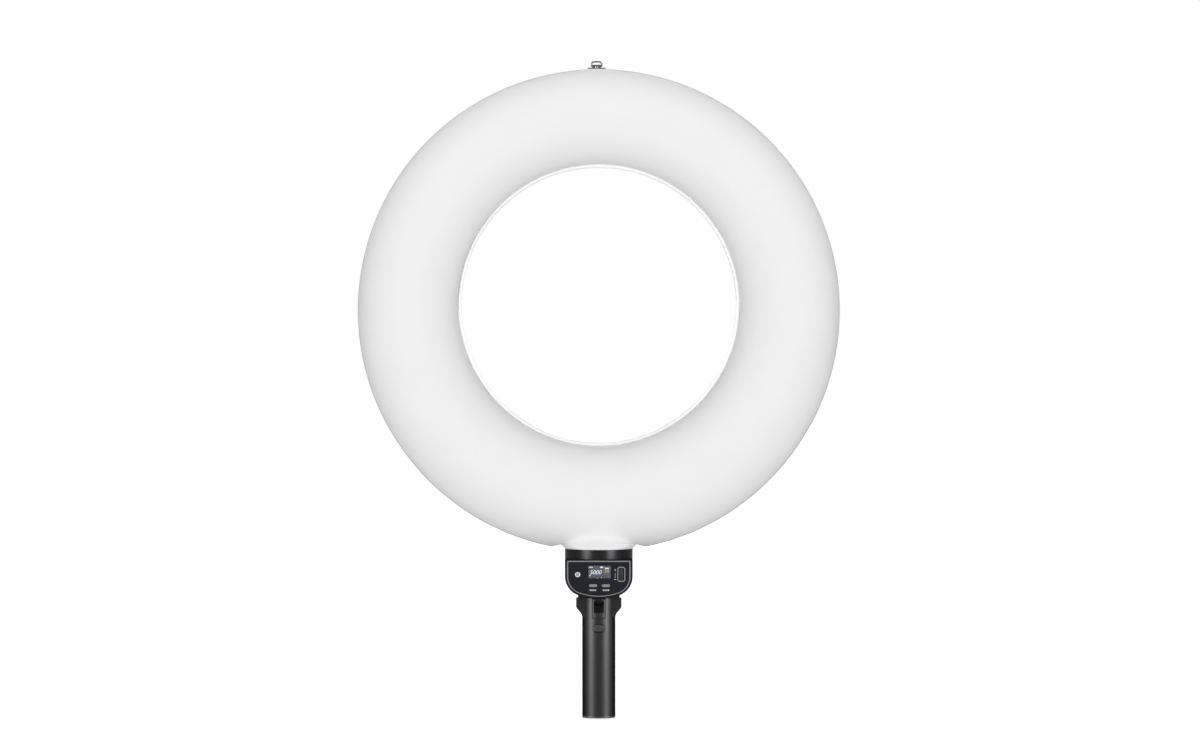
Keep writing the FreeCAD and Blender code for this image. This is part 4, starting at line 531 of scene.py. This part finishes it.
# %% [markdown]
# At the neck the cloth is clamped to a white flare. Seen from the front the cloth leaves the round
# outline in a corner on each side and climbs straight to a notch at the flare. In front it runs down from
# the fat part of the ring onto the flare in one shallow hollow. Heights under which the cloth never hangs
# give the corner and notch.

# %% The neck's outline
collar_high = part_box("head_collar")[1]
COLLAR_TOP = collar_high.z
SEAM_TUCK = 0.8 * MM
CORNER = 47.2 * MM
NOTCH = 38.5 * MM
NOTCH_RISE = 1.9 * MM
HEM_RISE = 2.2 * MM
CORNER_Z = RING_CENTRE - math.sqrt((RING_RADIUS - SEAM_TUCK) ** 2 - CORNER**2)
NOTCH_Z = CORNER_Z + NOTCH_RISE


def hang_limit(x):
    """The lowest height of the cloth at this distance from the middle. Beyond the corners there is none."""
    x = np.abs(x)
    hem = NOTCH_Z + HEM_RISE * (1 - (x / NOTCH) ** 2)
    climb = NOTCH_Z + (CORNER_Z - NOTCH_Z) * (x - NOTCH) / (CORNER - NOTCH)
    return np.where(x < NOTCH, hem, np.where(x < CORNER, climb, -1))


def gather(x, z, drop=0.0):
    """The height of a point of the seam or the hoop, drawn up at the neck."""
    limit = float(hang_limit(x))
    return z if limit < 0 else max(z, limit + drop)


print("corner at", round(CORNER_Z / MM, 1), "notch at", round(NOTCH_Z / MM, 1), "mm")

# %% [markdown]
# The flare starts as the collar's oval. At the sides it opens outwards, and in front it leans back
# towards the ring. The same two curves shape the flare and the cloth above it, so the two are flush where
# they meet.

# %% The flare's oval at each height
FOOT_INSET = 0.3 * MM
FOOT_X = collar_high.x - FOOT_INSET
FOOT_Y = collar_high.y - FOOT_INSET
LEAN_BACK = 1.05
BLEND = 14 * MM


def oval_half_x(z):
    """Half the oval's width at this height."""
    up = np.clip((z - COLLAR_TOP) / (NOTCH_Z - COLLAR_TOP), 0, 1)
    return FOOT_X + (NOTCH - FOOT_X) * up**0.9 + 0.3 * np.maximum(z - NOTCH_Z, 0)


def oval_half_y(z):
    """Half the oval's depth at this height."""
    return FOOT_Y - LEAN_BACK * (z - COLLAR_TOP)


def neck_depth(x, z):
    """How far the flare's surface stands out at this point, and 0 beside it."""
    share = 1 - (x / oval_half_x(z)) ** 2
    return oval_half_y(z) * np.sqrt(np.maximum(share, 0))


def cloth_depth(x, z, bulge):
    """How far the cloth stands out: the ring's own bulge or the neck, joined by a soft hollow."""
    neck = neck_depth(x, z)
    gap = np.maximum(BLEND - np.abs(bulge - neck), 0) / BLEND
    soft = np.where(neck > 0, gap**2 * BLEND / 4, 0) * np.minimum(neck / FOOT_Y, 1)
    return np.maximum(bulge, neck) + soft


print("flare opens from", round(FOOT_X / MM, 1), "to", round(NOTCH / MM, 1), "mm")

# %% [markdown]
# Each half of the cloth is one grid of faces, round the ring and round the half section. Making the grid
# in code gives clean faces and lets every loop of the knit lie straight along the ring. The sections
# stand close together at the neck, where the hem follows the flare's oval, and wider elsewhere.

# %% Where the sections stand
NECK_SECTIONS = 72
CLIMB_SECTIONS = 11
NEAR_SECTIONS = 13
FREE_SECTIONS = 250
NEAR_TURN = 0.07


def section_angles():
    """Angles of the sections round the ring, from the bottom. One stands exactly at each notch and corner."""
    turns = []
    for step in range(NECK_SECTIONS // 2 + 1):
        x = NOTCH * math.sin(math.pi * step / NECK_SECTIONS)
        turns.append(math.atan2(x, RING_CENTRE - float(hang_limit(x - 1e-9))))
    corner = math.asin(CORNER / (RING_RADIUS - SEAM_TUCK))
    turns += list(np.linspace(turns[-1], corner, CLIMB_SECTIONS)[1:])
    near = corner + NEAR_TURN
    turns += list(np.linspace(corner, near, NEAR_SECTIONS)[1:])
    turns += list(np.linspace(near, math.pi, FREE_SECTIONS)[1:])
    return [-a for a in turns[:0:-1]][1:] + turns


ANGLES = section_angles()
NOTCH_ANGLE = math.atan2(NOTCH, RING_CENTRE - NOTCH_Z)
print(len(ANGLES), "sections")

# %% [markdown]
# One section of the cloth runs from the seam over the fat part of the ring to the hole. It could be a
# spline, but a half ellipse is what air and a tight knit give, and at the neck it is cut off where it
# meets the flare. The points stand closer together near the seam, where the cloth turns most.

# %% One section of the cloth
ACROSS = 56
CLOTH = 0.8 * MM
CLOSE_UP = 0.55
FINE = np.linspace(0, math.pi, 1601)


def section_line(angle, side):
    """The line of the cloth in one section, from seam or hem to hole, and each point's way to the hole."""
    lean = -HOLE_LIFT * math.cos(angle)
    across = HOLE_LIFT * math.sin(angle)
    inner = lean + math.sqrt(HOLE_RADIUS**2 - across**2)
    outer = RING_RADIUS - SEAM_TUCK
    radius = (outer + inner) / 2 + (outer - inner) / 2 * np.cos(FINE)
    bulge = HALF_DEPTH * np.sin(FINE)
    x = radius * math.sin(angle)
    z = RING_CENTRE - radius * math.cos(angle)
    y = bulge
    if abs(angle) < math.asin(CORNER / outer) and radius[0] > 0:
        limit = hang_limit(x)
        neck = neck_depth(x, np.maximum(z, limit))
        start = int(np.argmax(((z >= limit) | (bulge >= neck)) & (limit > 0) | (limit < 0)))
        z = np.maximum(z, limit)
        y = cloth_depth(x, z, bulge)
        x, y, z = x[start:], y[start:], z[start:]
    points = np.stack([x, side * y, z], axis=1)
    steps = np.linalg.norm(np.diff(points, axis=0), axis=1)
    along = np.concatenate([[0], np.cumsum(steps)])
    share = np.linspace(0, 1, ACROSS + 1)
    wanted = along[-1] * share * (CLOSE_UP + (1 - CLOSE_UP) * share)
    line = np.stack([np.interp(wanted, along, points[:, axis]) for axis in range(3)], axis=1)
    return line, along[-1] - wanted


print(ACROSS + 1, "points in a section")

# %% [markdown]
# Two things pull at the tight cloth. At the neck it is drawn in, which leaves shallow folds that fan out
# from there. At the top the hanger's plate is riveted down on it, so that it lies flat under the plate.
# Both are small moves of the section's points.

# %% Folds and seat
FOLD = 0.3 * MM
FOLD_REACH = 17 * MM
FOLD_COUNT = 15
FOLD_START = 4 * MM
FOLD_TOP = 90 * MM
FAN_DROP = 25 * MM
FAN_RADIUS = 42 * MM
FOLD_DEPTH_FROM = 8 * MM


def pull_folds(point):
    """How far the shallow folds that fan out from the neck move the cloth here."""
    up = point.z - (NOTCH_Z - FAN_DROP)
    if up > FOLD_TOP or abs(point.y) <= FOLD_DEPTH_FROM:
        return 0.0
    away = math.hypot(point.x, up) - FAN_RADIUS
    fan = math.atan2(point.x, up)
    shape = math.cos(FOLD_COUNT * fan + 0.6 * math.sin(3 * fan)) * (0.75 + 0.25 * math.sin(5 * fan + 1))
    return FOLD * shape * math.exp(-max(away, 0) / FOLD_REACH) * min(1, max(away, 0) / FOLD_START)


hanger_low, hanger_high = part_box("hanger_plate")
SEAT_HALF_DEPTH = 5.5 * MM
SEAT_FADE = (12 * MM, 6 * MM)
SEAT_REACH = 8 * MM
SEAT_GAP = 0.05 * MM


def plate_rise(x, y, z):
    """How far the cloth is drawn up here to lie flat against the underside of the hanger's plate."""
    past_x = max(abs(x - (hanger_low.x + hanger_high.x) / 2) - (hanger_high.x - hanger_low.x) / 2, 0)
    past_y = max(abs(y) - SEAT_HALF_DEPTH, 0)
    near = max(1 - math.hypot(past_x / SEAT_FADE[0], past_y / SEAT_FADE[1]), 0)
    gap = hanger_low.z - SEAT_GAP - z
    if gap > SEAT_REACH:
        return 0.0
    return max(gap, 0) * near * near * (3 - 2 * near)


print("hanger's plate sits at", round(hanger_low.z / MM, 1), "mm")

# %% [markdown]
# Each skin is one grid: a row of points per section, faces between the rows, and cloth coordinates in
# metres for the knit. The coordinates close on a whole number of stitches, so no seam shows where the
# ring closes. The thickness comes from a Solidify modifier. Both skins take the place of the model's
# plain covers.


def make_skin(name, side, material, stands_for):
    """The front (side -1) or rear (side 1) half of the cloth."""
    grid = bmesh.new()
    cloth = grid.loops.layers.uv.new("cloth")
    rows = []
    marks = []
    for angle in ANGLES:
        line, from_hole = section_line(angle, side)
        row = []
        for spot in line:
            point = Vector(spot)
            point.z += plate_rise(*point)
            point.y += side * pull_folds(point)
            row.append(grid.verts.new(point))
        rows.append(row)
        marks.append(from_hole)
    columns = round(math.pi * (RING_RADIUS + HOLE_RADIUS) / KNIT_COLUMN)
    middle = columns * KNIT_COLUMN / (2 * math.pi)
    total = len(ANGLES)
    for step in range(total):
        after = (step + 1) % total
        start = ANGLES[step] * middle
        width = (ANGLES[after] - ANGLES[step]) % (2 * math.pi) * middle
        for count in range(ACROSS):
            corners = [rows[step][count], rows[after][count], rows[after][count + 1], rows[step][count + 1]]
            spots = [(start, marks[step][count]), (start + width, marks[after][count])]
            spots += [(start + width, marks[after][count + 1]), (start, marks[step][count + 1])]
            face = smooth_face(grid, corners if side < 0 else corners[::-1])
            for loop, spot in zip(face.loops, spots if side < 0 else spots[::-1]):
                loop[cloth].uv = spot
    skin = add_shape(name, grid, material, "light", turn_out=False)
    thick = skin.modifiers.new("cloth_thickness", "SOLIDIFY")
    thick.thickness = CLOTH
    thick.offset = -1
    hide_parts(stands_for)
    print(name, len(skin.data.polygons), "faces")


make_skin("front_skin", -1, white_knit, "front_diffuser")
make_skin("rear_skin", 1, rear_knit, "rear_cover")

# %% [markdown]
# Front and back are sewn together over a thin cord, a piping, at the outer edge. It is a tube that
# follows the cloth's outline and ends at the flare. Its grey, darker than the cloth, is painted shade along
# the outline. The hoop inside follows the same line, a little smaller, all the way round.

# %% Tubes round the ring
TUBE_SIDES = 12


def ring_tube(name, radius, thick, material, start=0.0, drop=0.0):
    """A round tube along the ring's outline. With a start angle it stops at the neck on both sides."""
    tube = bmesh.new()
    closed = start == 0
    rings = []
    turns = [a for a in ANGLES if closed or abs(a) >= start - 1e-6]
    if not closed:
        turns = [a for a in turns if a > 0] + [a + 2 * math.pi for a in turns if a < 0]
    for angle in turns:
        outward = Vector((math.sin(angle), 0, -math.cos(angle)))
        centre = outward * radius + Vector((0, 0, RING_CENTRE))
        centre.z = gather(centre.x, centre.z, drop)
        if radius + thick > RING_RADIUS - SEAM_TUCK:
            centre.z += plate_rise(centre.x, 0, centre.z + thick)
        ring = []
        for count in range(TUBE_SIDES):
            around = 2 * math.pi * count / TUBE_SIDES
            offset = outward * math.cos(around) + Vector((0, 1, 0)) * math.sin(around)
            ring.append(tube.verts.new(centre + offset * thick))
        rings.append(ring)
    pairs = list(zip(rings, rings[1:])) + ([(rings[-1], rings[0])] if closed else [])
    for here, there in pairs:
        for count in range(TUBE_SIDES):
            after = (count + 1) % TUBE_SIDES
            smooth_face(tube, [here[count], here[after], there[after], there[count]])
    if not closed:
        tube.faces.new(rings[0][::-1])
        tube.faces.new(rings[-1])
    print(name, "radius", round(radius / MM, 1), "thickness", round(2 * thick / MM, 1), "mm")
    return add_shape(name, tube, material, "light")


# The cord is part of the seam; its grey, darker than the cloth, is painted shade along the outer edge.
piping_shade_grey = finish("piping_shade_grey", (0.55, 0.55, 0.56), 0.7, grain=0.5, depth=0.05, Specular_IOR_Level=0.1)
PIPING = 0.75 * MM
piping = ring_tube("seam_piping", RING_RADIUS - PIPING, PIPING, piping_shade_grey, start=NOTCH_ANGLE)

# %% [markdown]
# Behind the piping runs a row of stitches. Each one is a short bead of thread, pointed at both ends, half
# sunk in the cloth, and they follow the seam from one side of the neck round to the other.

# %% Seam stitches
STITCH_PITCH = 3.6 * MM
STITCH_HALF = 1.25 * MM
THREAD = 0.24 * MM
STITCH_BEND = 0.06
STITCH_START = 0.02
THREAD_SIDES = 6
thread_white = finish("thread_white", (0.78, 0.78, 0.79), 0.6, grain=0.2, depth=0.02, Specular_IOR_Level=0.1)
seam_radius = RING_RADIUS - SEAM_TUCK - (RING_RADIUS - HOLE_RADIUS) / 2 * (1 - math.cos(STITCH_BEND))
seam_y = HALF_DEPTH * math.sin(STITCH_BEND)
first_stitch = math.asin(CORNER / RING_RADIUS) + STITCH_START
stitch_total = round((2 * math.pi - 2 * first_stitch) * seam_radius / STITCH_PITCH)
beads = bmesh.new()
for step in range(stitch_total + 1):
    angle = first_stitch + (2 * math.pi - 2 * first_stitch) * step / stitch_total
    outward = Vector((math.sin(angle), 0, -math.cos(angle)))
    along = Vector((math.cos(angle), 0, math.sin(angle)))
    centre = outward * seam_radius + Vector((0, seam_y, RING_CENTRE))
    centre.z += plate_rise(*centre)
    sunk = centre - outward * THREAD * 0.6
    tips = [beads.verts.new(sunk + along * STITCH_HALF * end) for end in (-1, 1)]
    belts = []
    for offset in (-0.5, 0.5):
        belt = []
        for count in range(THREAD_SIDES):
            around = 2 * math.pi * count / THREAD_SIDES
            lift = outward * math.cos(around) + Vector((0, 1, 0)) * math.sin(around)
            belt.append(beads.verts.new(centre + along * STITCH_HALF * offset + lift * THREAD))
        belts.append(belt)
    for count in range(THREAD_SIDES):
        after = (count + 1) % THREAD_SIDES
        smooth_face(beads, [tips[0], belts[0][after], belts[0][count]])
        smooth_face(beads, [belts[0][count], belts[0][after], belts[1][after], belts[1][count]])
        smooth_face(beads, [tips[1], belts[1][count], belts[1][after]])
stitches = add_shape("seam_stitches", beads, thread_white, "light")
print(stitch_total + 1, "stitches")

# %% [markdown]
# The steel hoop that spreads the cloth is a plain circle in the model. Here it follows the cloth's
# outline up at the neck as well, or it would stick out under the gathered hem.

# %% The hoop inside
hoop_low, hoop_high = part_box("outer_frame_hoop")
HOOP = (hoop_high.y - hoop_low.y) / 2
hoop_radius = (hoop_high.x - hoop_low.x) / 2 - HOOP
hoop = ring_tube("outer_hoop", hoop_radius, HOOP, spring_steel, drop=HOOP + 2 * CLOTH)
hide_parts("outer_frame_hoop")

# %% [markdown]
# The white flare between the cloth and the black collar is one smooth moulding. It is built as rings of
# points: the skirt inside the collar, the visible wall up to the hem, and a small tuck that carries the
# hem from behind, so the cloth looks clamped in a groove.

# %% Neck flare
SKIRT_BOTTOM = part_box("neck_saddle")[0].z
FLARE_STEPS = 192
SKIRT_WALL = 2.3 * MM
PASSAGE = (26 * MM, 15 * MM)
WALL_RINGS = 12
HEM_LIP = 0.2 * MM
HEM_TUCK = CLOTH + 0.25 * MM
TUCK_RISE = 2.5 * MM
LID_HALF = 34 * MM
LID_RISE = 0.7 * MM


def oval_ring(half_x, half_y, height, square=2.0):
    """Points of an oval; square above 2 fills its corners."""
    ring = []
    for step in range(FLARE_STEPS):
        angle = 2 * math.pi * step / FLARE_STEPS
        c, s = math.cos(angle), math.sin(angle)
        x = half_x * math.copysign(abs(c) ** (2 / square), c)
        y = half_y * math.copysign(abs(s) ** (2 / square), s)
        ring.append(Vector((x, y, height)))
    return ring


def wall_ring(share, inset=0.0, rise=0.0):
    """A ring of the flare's wall: share 0 is its foot, 1 its hem. Inset moves it in, rise lifts its front."""
    ring = []
    for step in range(FLARE_STEPS):
        angle = 2 * math.pi * step / FLARE_STEPS
        c, s = math.cos(angle), math.sin(angle)
        hem = NOTCH_Z
        for _ in range(6):
            hem = float(hang_limit(min(abs(c) * float(oval_half_x(hem)), NOTCH - 1e-9)))
        z = COLLAR_TOP + (hem - COLLAR_TOP) * share + rise * s * s
        ring.append(Vector(((float(oval_half_x(z)) - inset) * c, (float(oval_half_y(z)) - inset) * s, z)))
    return ring


def make_flare(material):
    """The flare as one closed skin, from the skirt up the wall, over the hem and down the passage."""
    inner_x, inner_y = FOOT_X - SKIRT_WALL, FOOT_Y - SKIRT_WALL
    rings = [oval_ring(*PASSAGE, SKIRT_BOTTOM, 4), oval_ring(inner_x, inner_y, SKIRT_BOTTOM)]
    rings.append(oval_ring(inner_x, inner_y, COLLAR_TOP))
    rings += [wall_ring(step / WALL_RINGS) for step in range(WALL_RINGS + 1)]
    rings.append(wall_ring(1, inset=HEM_LIP))
    rings.append(wall_ring(1, inset=HEM_TUCK))
    rings.append(wall_ring(1, inset=HEM_TUCK, rise=TUCK_RISE))
    rings.append(oval_ring(LID_HALF, LID_HALF, NOTCH_Z + LID_RISE))
    rings.append(oval_ring(*PASSAGE, NOTCH_Z + LID_RISE, 4))
    flare = bmesh.new()
    lines = [[flare.verts.new(point) for point in ring] for ring in rings]
    for here, there in zip(lines, lines[1:] + lines[:1]):
        for step in range(FLARE_STEPS):
            after = (step + 1) % FLARE_STEPS
            smooth_face(flare, [here[step], here[after], there[after], there[step]])
    return add_shape("neck_flare", flare, material, "light")


white_moulding = finish(
    "white_moulding", (0.9, 0.9, 0.9), 0.6, depth=0.006, tone=0.01, Specular_IOR_Level=0.1
)
flare = make_flare(white_moulding)
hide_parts("neck_saddle")
print("flare", [round(v / MM, 1) for v in flare.dimensions], "mm")

# %% [markdown]
# Behind the latch stands a small coil spring, and it gets shorter as the latch rocks in. Its form is a
# helix, which a curve with a round section gives in a few lines. The curve then becomes a mesh, since
# only a mesh can be squashed.

# %% Latch spring
SPRING_WIRE = 0.35 * MM
SPRING_TURNS = 4
SPRING_POINTS = 24 * SPRING_TURNS
spring_low, spring_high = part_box("latch_spring")
spring_middle = (spring_low + spring_high) / 2
spring_foot = spring_low.y + SPRING_WIRE
spring_length = spring_high.y - spring_low.y - 2 * SPRING_WIRE
path = bpy.data.curves.new("latch_coil_path", "CURVE")
path.dimensions = "3D"
path.bevel_depth = SPRING_WIRE
path.bevel_resolution = 2
path.use_fill_caps = True
helix = path.splines.new("POLY")
helix.points.add(SPRING_POINTS)
coil_radius = (spring_high.x - spring_low.x) / 2 - SPRING_WIRE
for step, point in enumerate(helix.points):
    turn = 2 * math.pi * SPRING_TURNS * step / SPRING_POINTS
    across, up = coil_radius * math.cos(turn), coil_radius * math.sin(turn)
    y = spring_foot + spring_length * step / SPRING_POINTS
    point.co = (spring_middle.x + across, y, spring_middle.z + up, 1)
bent = bpy.data.objects.new("latch_coil_path", path)
bpy.context.scene.collection.objects.link(bent)
mesh = bpy.data.meshes.new_from_object(bent.evaluated_get(bpy.context.evaluated_depsgraph_get()))
bpy.data.objects.remove(bent)
bpy.data.curves.remove(path)
for face in mesh.polygons:
    face.use_smooth = True
coil = add_mesh("latch_coil", mesh, spring_steel, "light")
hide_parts("latch_spring")
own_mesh(coil)

# %% [markdown]
# The head carries many small flat things: a lit screen, signs, printed bars and a sign on a button. Each
# is a thin plate with its own outline, so one helper makes them all. Rectangles and bands along an arc
# are all the outlines that they need.

# %% Flat marks


def plate(name, outlines, front, thick, material, body, bevel=0.0):
    """Flat plates of one piece. Each outline is a list of x and z points; front is where the face stands."""
    marks = bmesh.new()
    for outline in outlines:
        corners = [marks.verts.new((x, front, z)) for x, z in outline]
        face = marks.faces.new(corners)
        grown = bmesh.ops.extrude_face_region(marks, geom=[face])
        back = [v for v in grown["geom"] if isinstance(v, bmesh.types.BMVert)]
        bmesh.ops.translate(marks, verts=back, vec=(0, thick, 0))
    made = add_shape(name, marks, material, body)
    if bevel:
        soft_edge = made.modifiers.new("soft_edge", "BEVEL")
        soft_edge.width = bevel
        soft_edge.segments = 2
    return made


def bar(x, z, width, height):
    """A rectangle round a middle point, all in millimetres."""
    left, right = (x - width / 2) * MM, (x + width / 2) * MM
    bottom, top = (z - height / 2) * MM, (z + height / 2) * MM
    return [(left, bottom), (right, bottom), (right, top), (left, top)]


def arc_band(x, z, inner, outer, start, stop, steps=40):
    """A band along an arc; angles in degrees, anticlockwise from the right as seen from the front."""
    turns = [math.radians(start + (stop - start) * n / steps) for n in range(steps + 1)]
    outside = [((x + outer * math.cos(a)) * MM, (z + outer * math.sin(a)) * MM) for a in turns]
    inside = [((x + inner * math.cos(a)) * MM, (z + inner * math.sin(a)) * MM) for a in reversed(turns)]
    return outside + inside


print("flat marks are ready")

# %% [markdown]
# The screen's digits come from Blender's own font. The text becomes a mesh, and its points are fitted to
# a width and a height, because the digits of a small display are narrower than the font's.

# %% Digits


def digits(name, text, x, z, height, width, front, thick, material, body, slant=0.0):
    """A number as a thin mesh, with its middle, height and width in millimetres."""
    curve = bpy.data.curves.new(name, "FONT")
    curve.body = text
    curve.shear = slant
    curve.extrude = thick / 2 / MM
    source = bpy.data.objects.new(name + "_source", curve)
    bpy.context.scene.collection.objects.link(source)
    bpy.context.view_layer.update()
    mesh = bpy.data.meshes.new_from_object(source)
    bpy.data.objects.remove(source)
    spots = np.array([v.co for v in mesh.vertices])
    first, last = spots.min(0), spots.max(0)
    for vertex in mesh.vertices:
        share_x = (vertex.co.x - first[0]) / (last[0] - first[0]) - 0.5
        share_z = (vertex.co.y - first[1]) / (last[1] - first[1]) - 0.5
        share_y = (vertex.co.z - first[2]) / (last[2] - first[2])
        vertex.co = ((x + share_x * width) * MM, front + (1 - share_y) * thick, (z + share_z * height) * MM)
    return add_mesh(name, mesh, material, body)


print("digits are ready")

# %% [markdown]
# A lit mark is dark by itself and gives off its own colour. Its strength is 1, so it shows the colour as
# written.

# %% Glow


def lit(name, colour, strength):
    """A finish that glows: dark by itself, with a faint glow of its own colour."""
    material = finish(name, tuple(c * 0.05 for c in colour), 0.5, grain=0.5, depth=0.001, tone=0.02)
    shader = material.node_tree.nodes["Principled BSDF"]
    shader.inputs["Specular IOR Level"].default_value = 0
    shader.inputs["Emission Color"].default_value = (*colour, 1)
    shader.inputs["Emission Strength"].default_value = strength
    return material


print("glow is ready")

# %% [markdown]
# The small screen is three layers, as on a real module: a lit face, thin lit marks, and a clear pane over
# them. The face and the marks glow a little, because a pane keeps other light out. All places are given
# in millimetres from the screen's middle, which is read from the model.

# %% The screen
pane_low, pane_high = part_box("display_window")
SCREEN_X = (pane_low.x + pane_high.x) / 2 / MM
SCREEN_Z = (pane_low.z + pane_high.z) / 2 / MM
SCREEN_WIDE = (pane_high.x - pane_low.x) / MM
SCREEN_TALL = (pane_high.z - pane_low.z) / MM
FACE_Y = pane_high.y - 0.35 * MM
FACE_EDGE = 0.1
MARK = 0.05 * MM
PANE = 0.3 * MM
PANE_EDGE = 0.08 * MM


def on_screen(x, z, width, height):
    """A rectangle at this place from the screen's middle, in millimetres."""
    return bar(SCREEN_X + x, SCREEN_Z + z, width, height)


screen_glow = lit("screen_glow", (0.072, 0.076, 0.098), 1)
white_glow = lit("white_glow", (0.85, 0.87, 0.9), 1)
yellow_glow = lit("yellow_glow", (0.75, 0.46, 0.08), 1)
screen_outline = [on_screen(0, 0, SCREEN_WIDE - FACE_EDGE, SCREEN_TALL - FACE_EDGE)]
face = plate("screen_face", screen_outline, FACE_Y, pane_high.y - FACE_Y, screen_glow, "light")
MARK_Y = FACE_Y - MARK
place = {"front": MARK_Y, "thick": MARK, "body": "light"}
white = {"x": SCREEN_X - 3.8, "z": SCREEN_Z - 0.2, "height": 4.1, "width": 11.6, "slant": 0.25}
number = digits("screen_number", "5000", material=white_glow, **white, **place)
yellow = {"x": SCREEN_X + 7.1, "z": SCREEN_Z + 0.9, "height": 2.9, "width": 4.7, "slant": 0.1}
level = digits("screen_level", "50", material=yellow_glow, **yellow, **place)
# Small signs at the top, a row over the yellow number, and one in the lower left corner.
signs = [on_screen(x, 4.8, 0.95, 1.0) for x in (-10.0, -8.7, -7.4)]
signs += [on_screen(1.8, 4.8, 2.4, 1.3), on_screen(3.25, 4.8, 0.3, 0.6)]
signs += [on_screen(x, 3.6, 1.05, 1.3) for x in (5.9, 7.2, 8.5)]
signs += [on_screen(-9.7, -3.5, 1.1, 1.0)]
small = plate("screen_signs", signs, MARK_Y, MARK, white_glow, "light")
clear_pane = finish("clear_pane", (0.95, 0.96, 0.98), 0.02, grain=4, depth=0.0001, gloss=0.005)
pane_shader = clear_pane.node_tree.nodes["Principled BSDF"]
pane_shader.inputs["Transmission Weight"].default_value = 1
pane_shader.inputs["IOR"].default_value = 1.3
pane_outline = [on_screen(0, 0, SCREEN_WIDE, SCREEN_TALL)]
pane = plate("screen_pane", pane_outline, pane_low.y, PANE, clear_pane, "light", PANE_EDGE)
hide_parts("display_window")
print("screen", round(SCREEN_WIDE, 1), "by", round(SCREEN_TALL, 1), "mm")

# %% [markdown]
# The marks printed on the panel: a ring with the usual sign for power on the button, a row of short bars
# under each key, and plus, line and minus beside the wheel. They are thin raised ink, like silk screen
# print.

# %% Printed marks
white_ink = finish("white_ink", (0.72, 0.73, 0.74), 0.5, grain=0.2, depth=0.002, tone=0.04)
grey_ink = finish("grey_ink", (0.42, 0.42, 0.43), 0.5, grain=0.2, depth=0.002, tone=0.04)
INK = 0.03 * MM
LABEL_DROP = 4.5
power_low, power_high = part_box("power_button")
power_x = (power_low.x + power_high.x) / 2 / MM
power_z = (power_low.z + power_high.z) / 2 / MM
ring_mark = [arc_band(power_x, power_z, 1.45, 2.45, a, a + 120, 24) for a in (0, 120, 240)]
power_ring = plate("power_ring", ring_mark, power_low.y - INK, INK, white_ink, "power")
sign = [arc_band(power_x, power_z - 0.1, 0.55, 0.85, 125, 415), bar(power_x, power_z + 0.65, 0.3, 1.0)]
power_sign = plate("power_sign", sign, power_low.y - INK, INK, white_ink, "power")
panel_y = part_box("face_panel")[0].y
for name in ("key_left", "key_right"):
    key_low, key_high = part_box(name)
    middle = (key_low.x + key_high.x) / 2 / MM
    down = (key_low.z + key_high.z) / 2 / MM - LABEL_DROP
    bars = [bar(middle + x, down, 1.25, 1.5) for x in (-2.6, -0.9, 0.8, 2.5)]
    plate(f"{name}_label", bars, panel_y - INK, INK, grey_ink, "light")
wheel_low, wheel_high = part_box("dial_bezel")
mark_x = wheel_low.x / MM - 2.1
mark_z = (wheel_low.z + wheel_high.z) / 2 / MM
marks = [bar(mark_x, mark_z + 4.2, 1.5, 0.45)]
marks += [bar(mark_x, mark_z + up, 0.45, 0.5) for up in (4.75, 3.65)]
marks += [bar(mark_x, mark_z - 5.2, 1.7, 0.5)]
dial_signs = plate("dial_signs", marks, panel_y - INK, INK, white_ink, "light")
dial_line = plate("dial_line", [bar(mark_x, mark_z - 1.1, 0.35, 4.8)], panel_y - INK, INK, grey_ink, "light")
print("marks beside the wheel at x", round(mark_x, 1), "mm")

# %% [markdown]
# The latch's thumb pad has a fine diamond knurl, and a small painted arrow above it points to it. The
# knurl is a field of low pyramids that follow the pad's curve, cut off by the pad's oval outline.

# %% Thumb pad
latch_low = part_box("latch_lever")[0]
grip_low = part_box("grip_shell")[0]
PAD_Z = 89.8 * MM
PAD_HALF = (4.6 * MM, 2.9 * MM)
PAD_FRONT = -latch_low.y
KNURL = 1.3 * MM
KNURL_HEIGHT = 0.28 * MM
KNURL_ROW = 0.62
KNURL_SUNK = 0.1 * MM
PAD_SQUARE = 2.6
field = bmesh.new()
for row in range(-4, 5):
    for column in range(-8, 9):
        x = (column + 0.5 * (row % 2)) * KNURL
        z = row * KNURL * KNURL_ROW
        if (abs(x) / PAD_HALF[0]) ** PAD_SQUARE + (abs(z) / PAD_HALF[1]) ** PAD_SQUARE > 1:
            continue
        corners = []
        for dx, dz in ((-0.46, 0), (0, -0.56), (0.46, 0), (0, 0.56)):
            spot_x, spot_z = x + dx * KNURL, z + dz * KNURL
            depth = math.sqrt(PAD_FRONT**2 - spot_x**2)
            corners.append(field.verts.new((spot_x, -depth + KNURL_SUNK, PAD_Z + spot_z)))
        peak = field.verts.new((x, -math.sqrt(PAD_FRONT**2 - x**2) - KNURL_HEIGHT, PAD_Z + z))
        for first, second in zip(corners, corners[1:] + corners[:1]):
            field.faces.new([first, second, peak])
        field.faces.new(corners[::-1])
knurl = add_shape("pad_knurl", field, latch_black, "latch")
dark_paint = finish("dark_paint", (0.006, 0.006, 0.007), 0.6, grain=0.3, depth=0.004, Specular_IOR_Level=0.1)
ARROW_TOP = 99.2 * MM
ARROW_TIP = 95.2 * MM
ARROW_HALF = 1.9 * MM
ARROW_THICK = 0.2 * MM
arrow_outline = [(-ARROW_HALF, ARROW_TOP), (0, ARROW_TIP), (ARROW_HALF, ARROW_TOP)]
arrow = plate("latch_arrow", [arrow_outline], grip_low.y - INK, ARROW_THICK, dark_paint, "light")
print("pad front at", round(PAD_FRONT / MM, 2), "grip front at", round(grip_low.y / MM, 2), "mm")
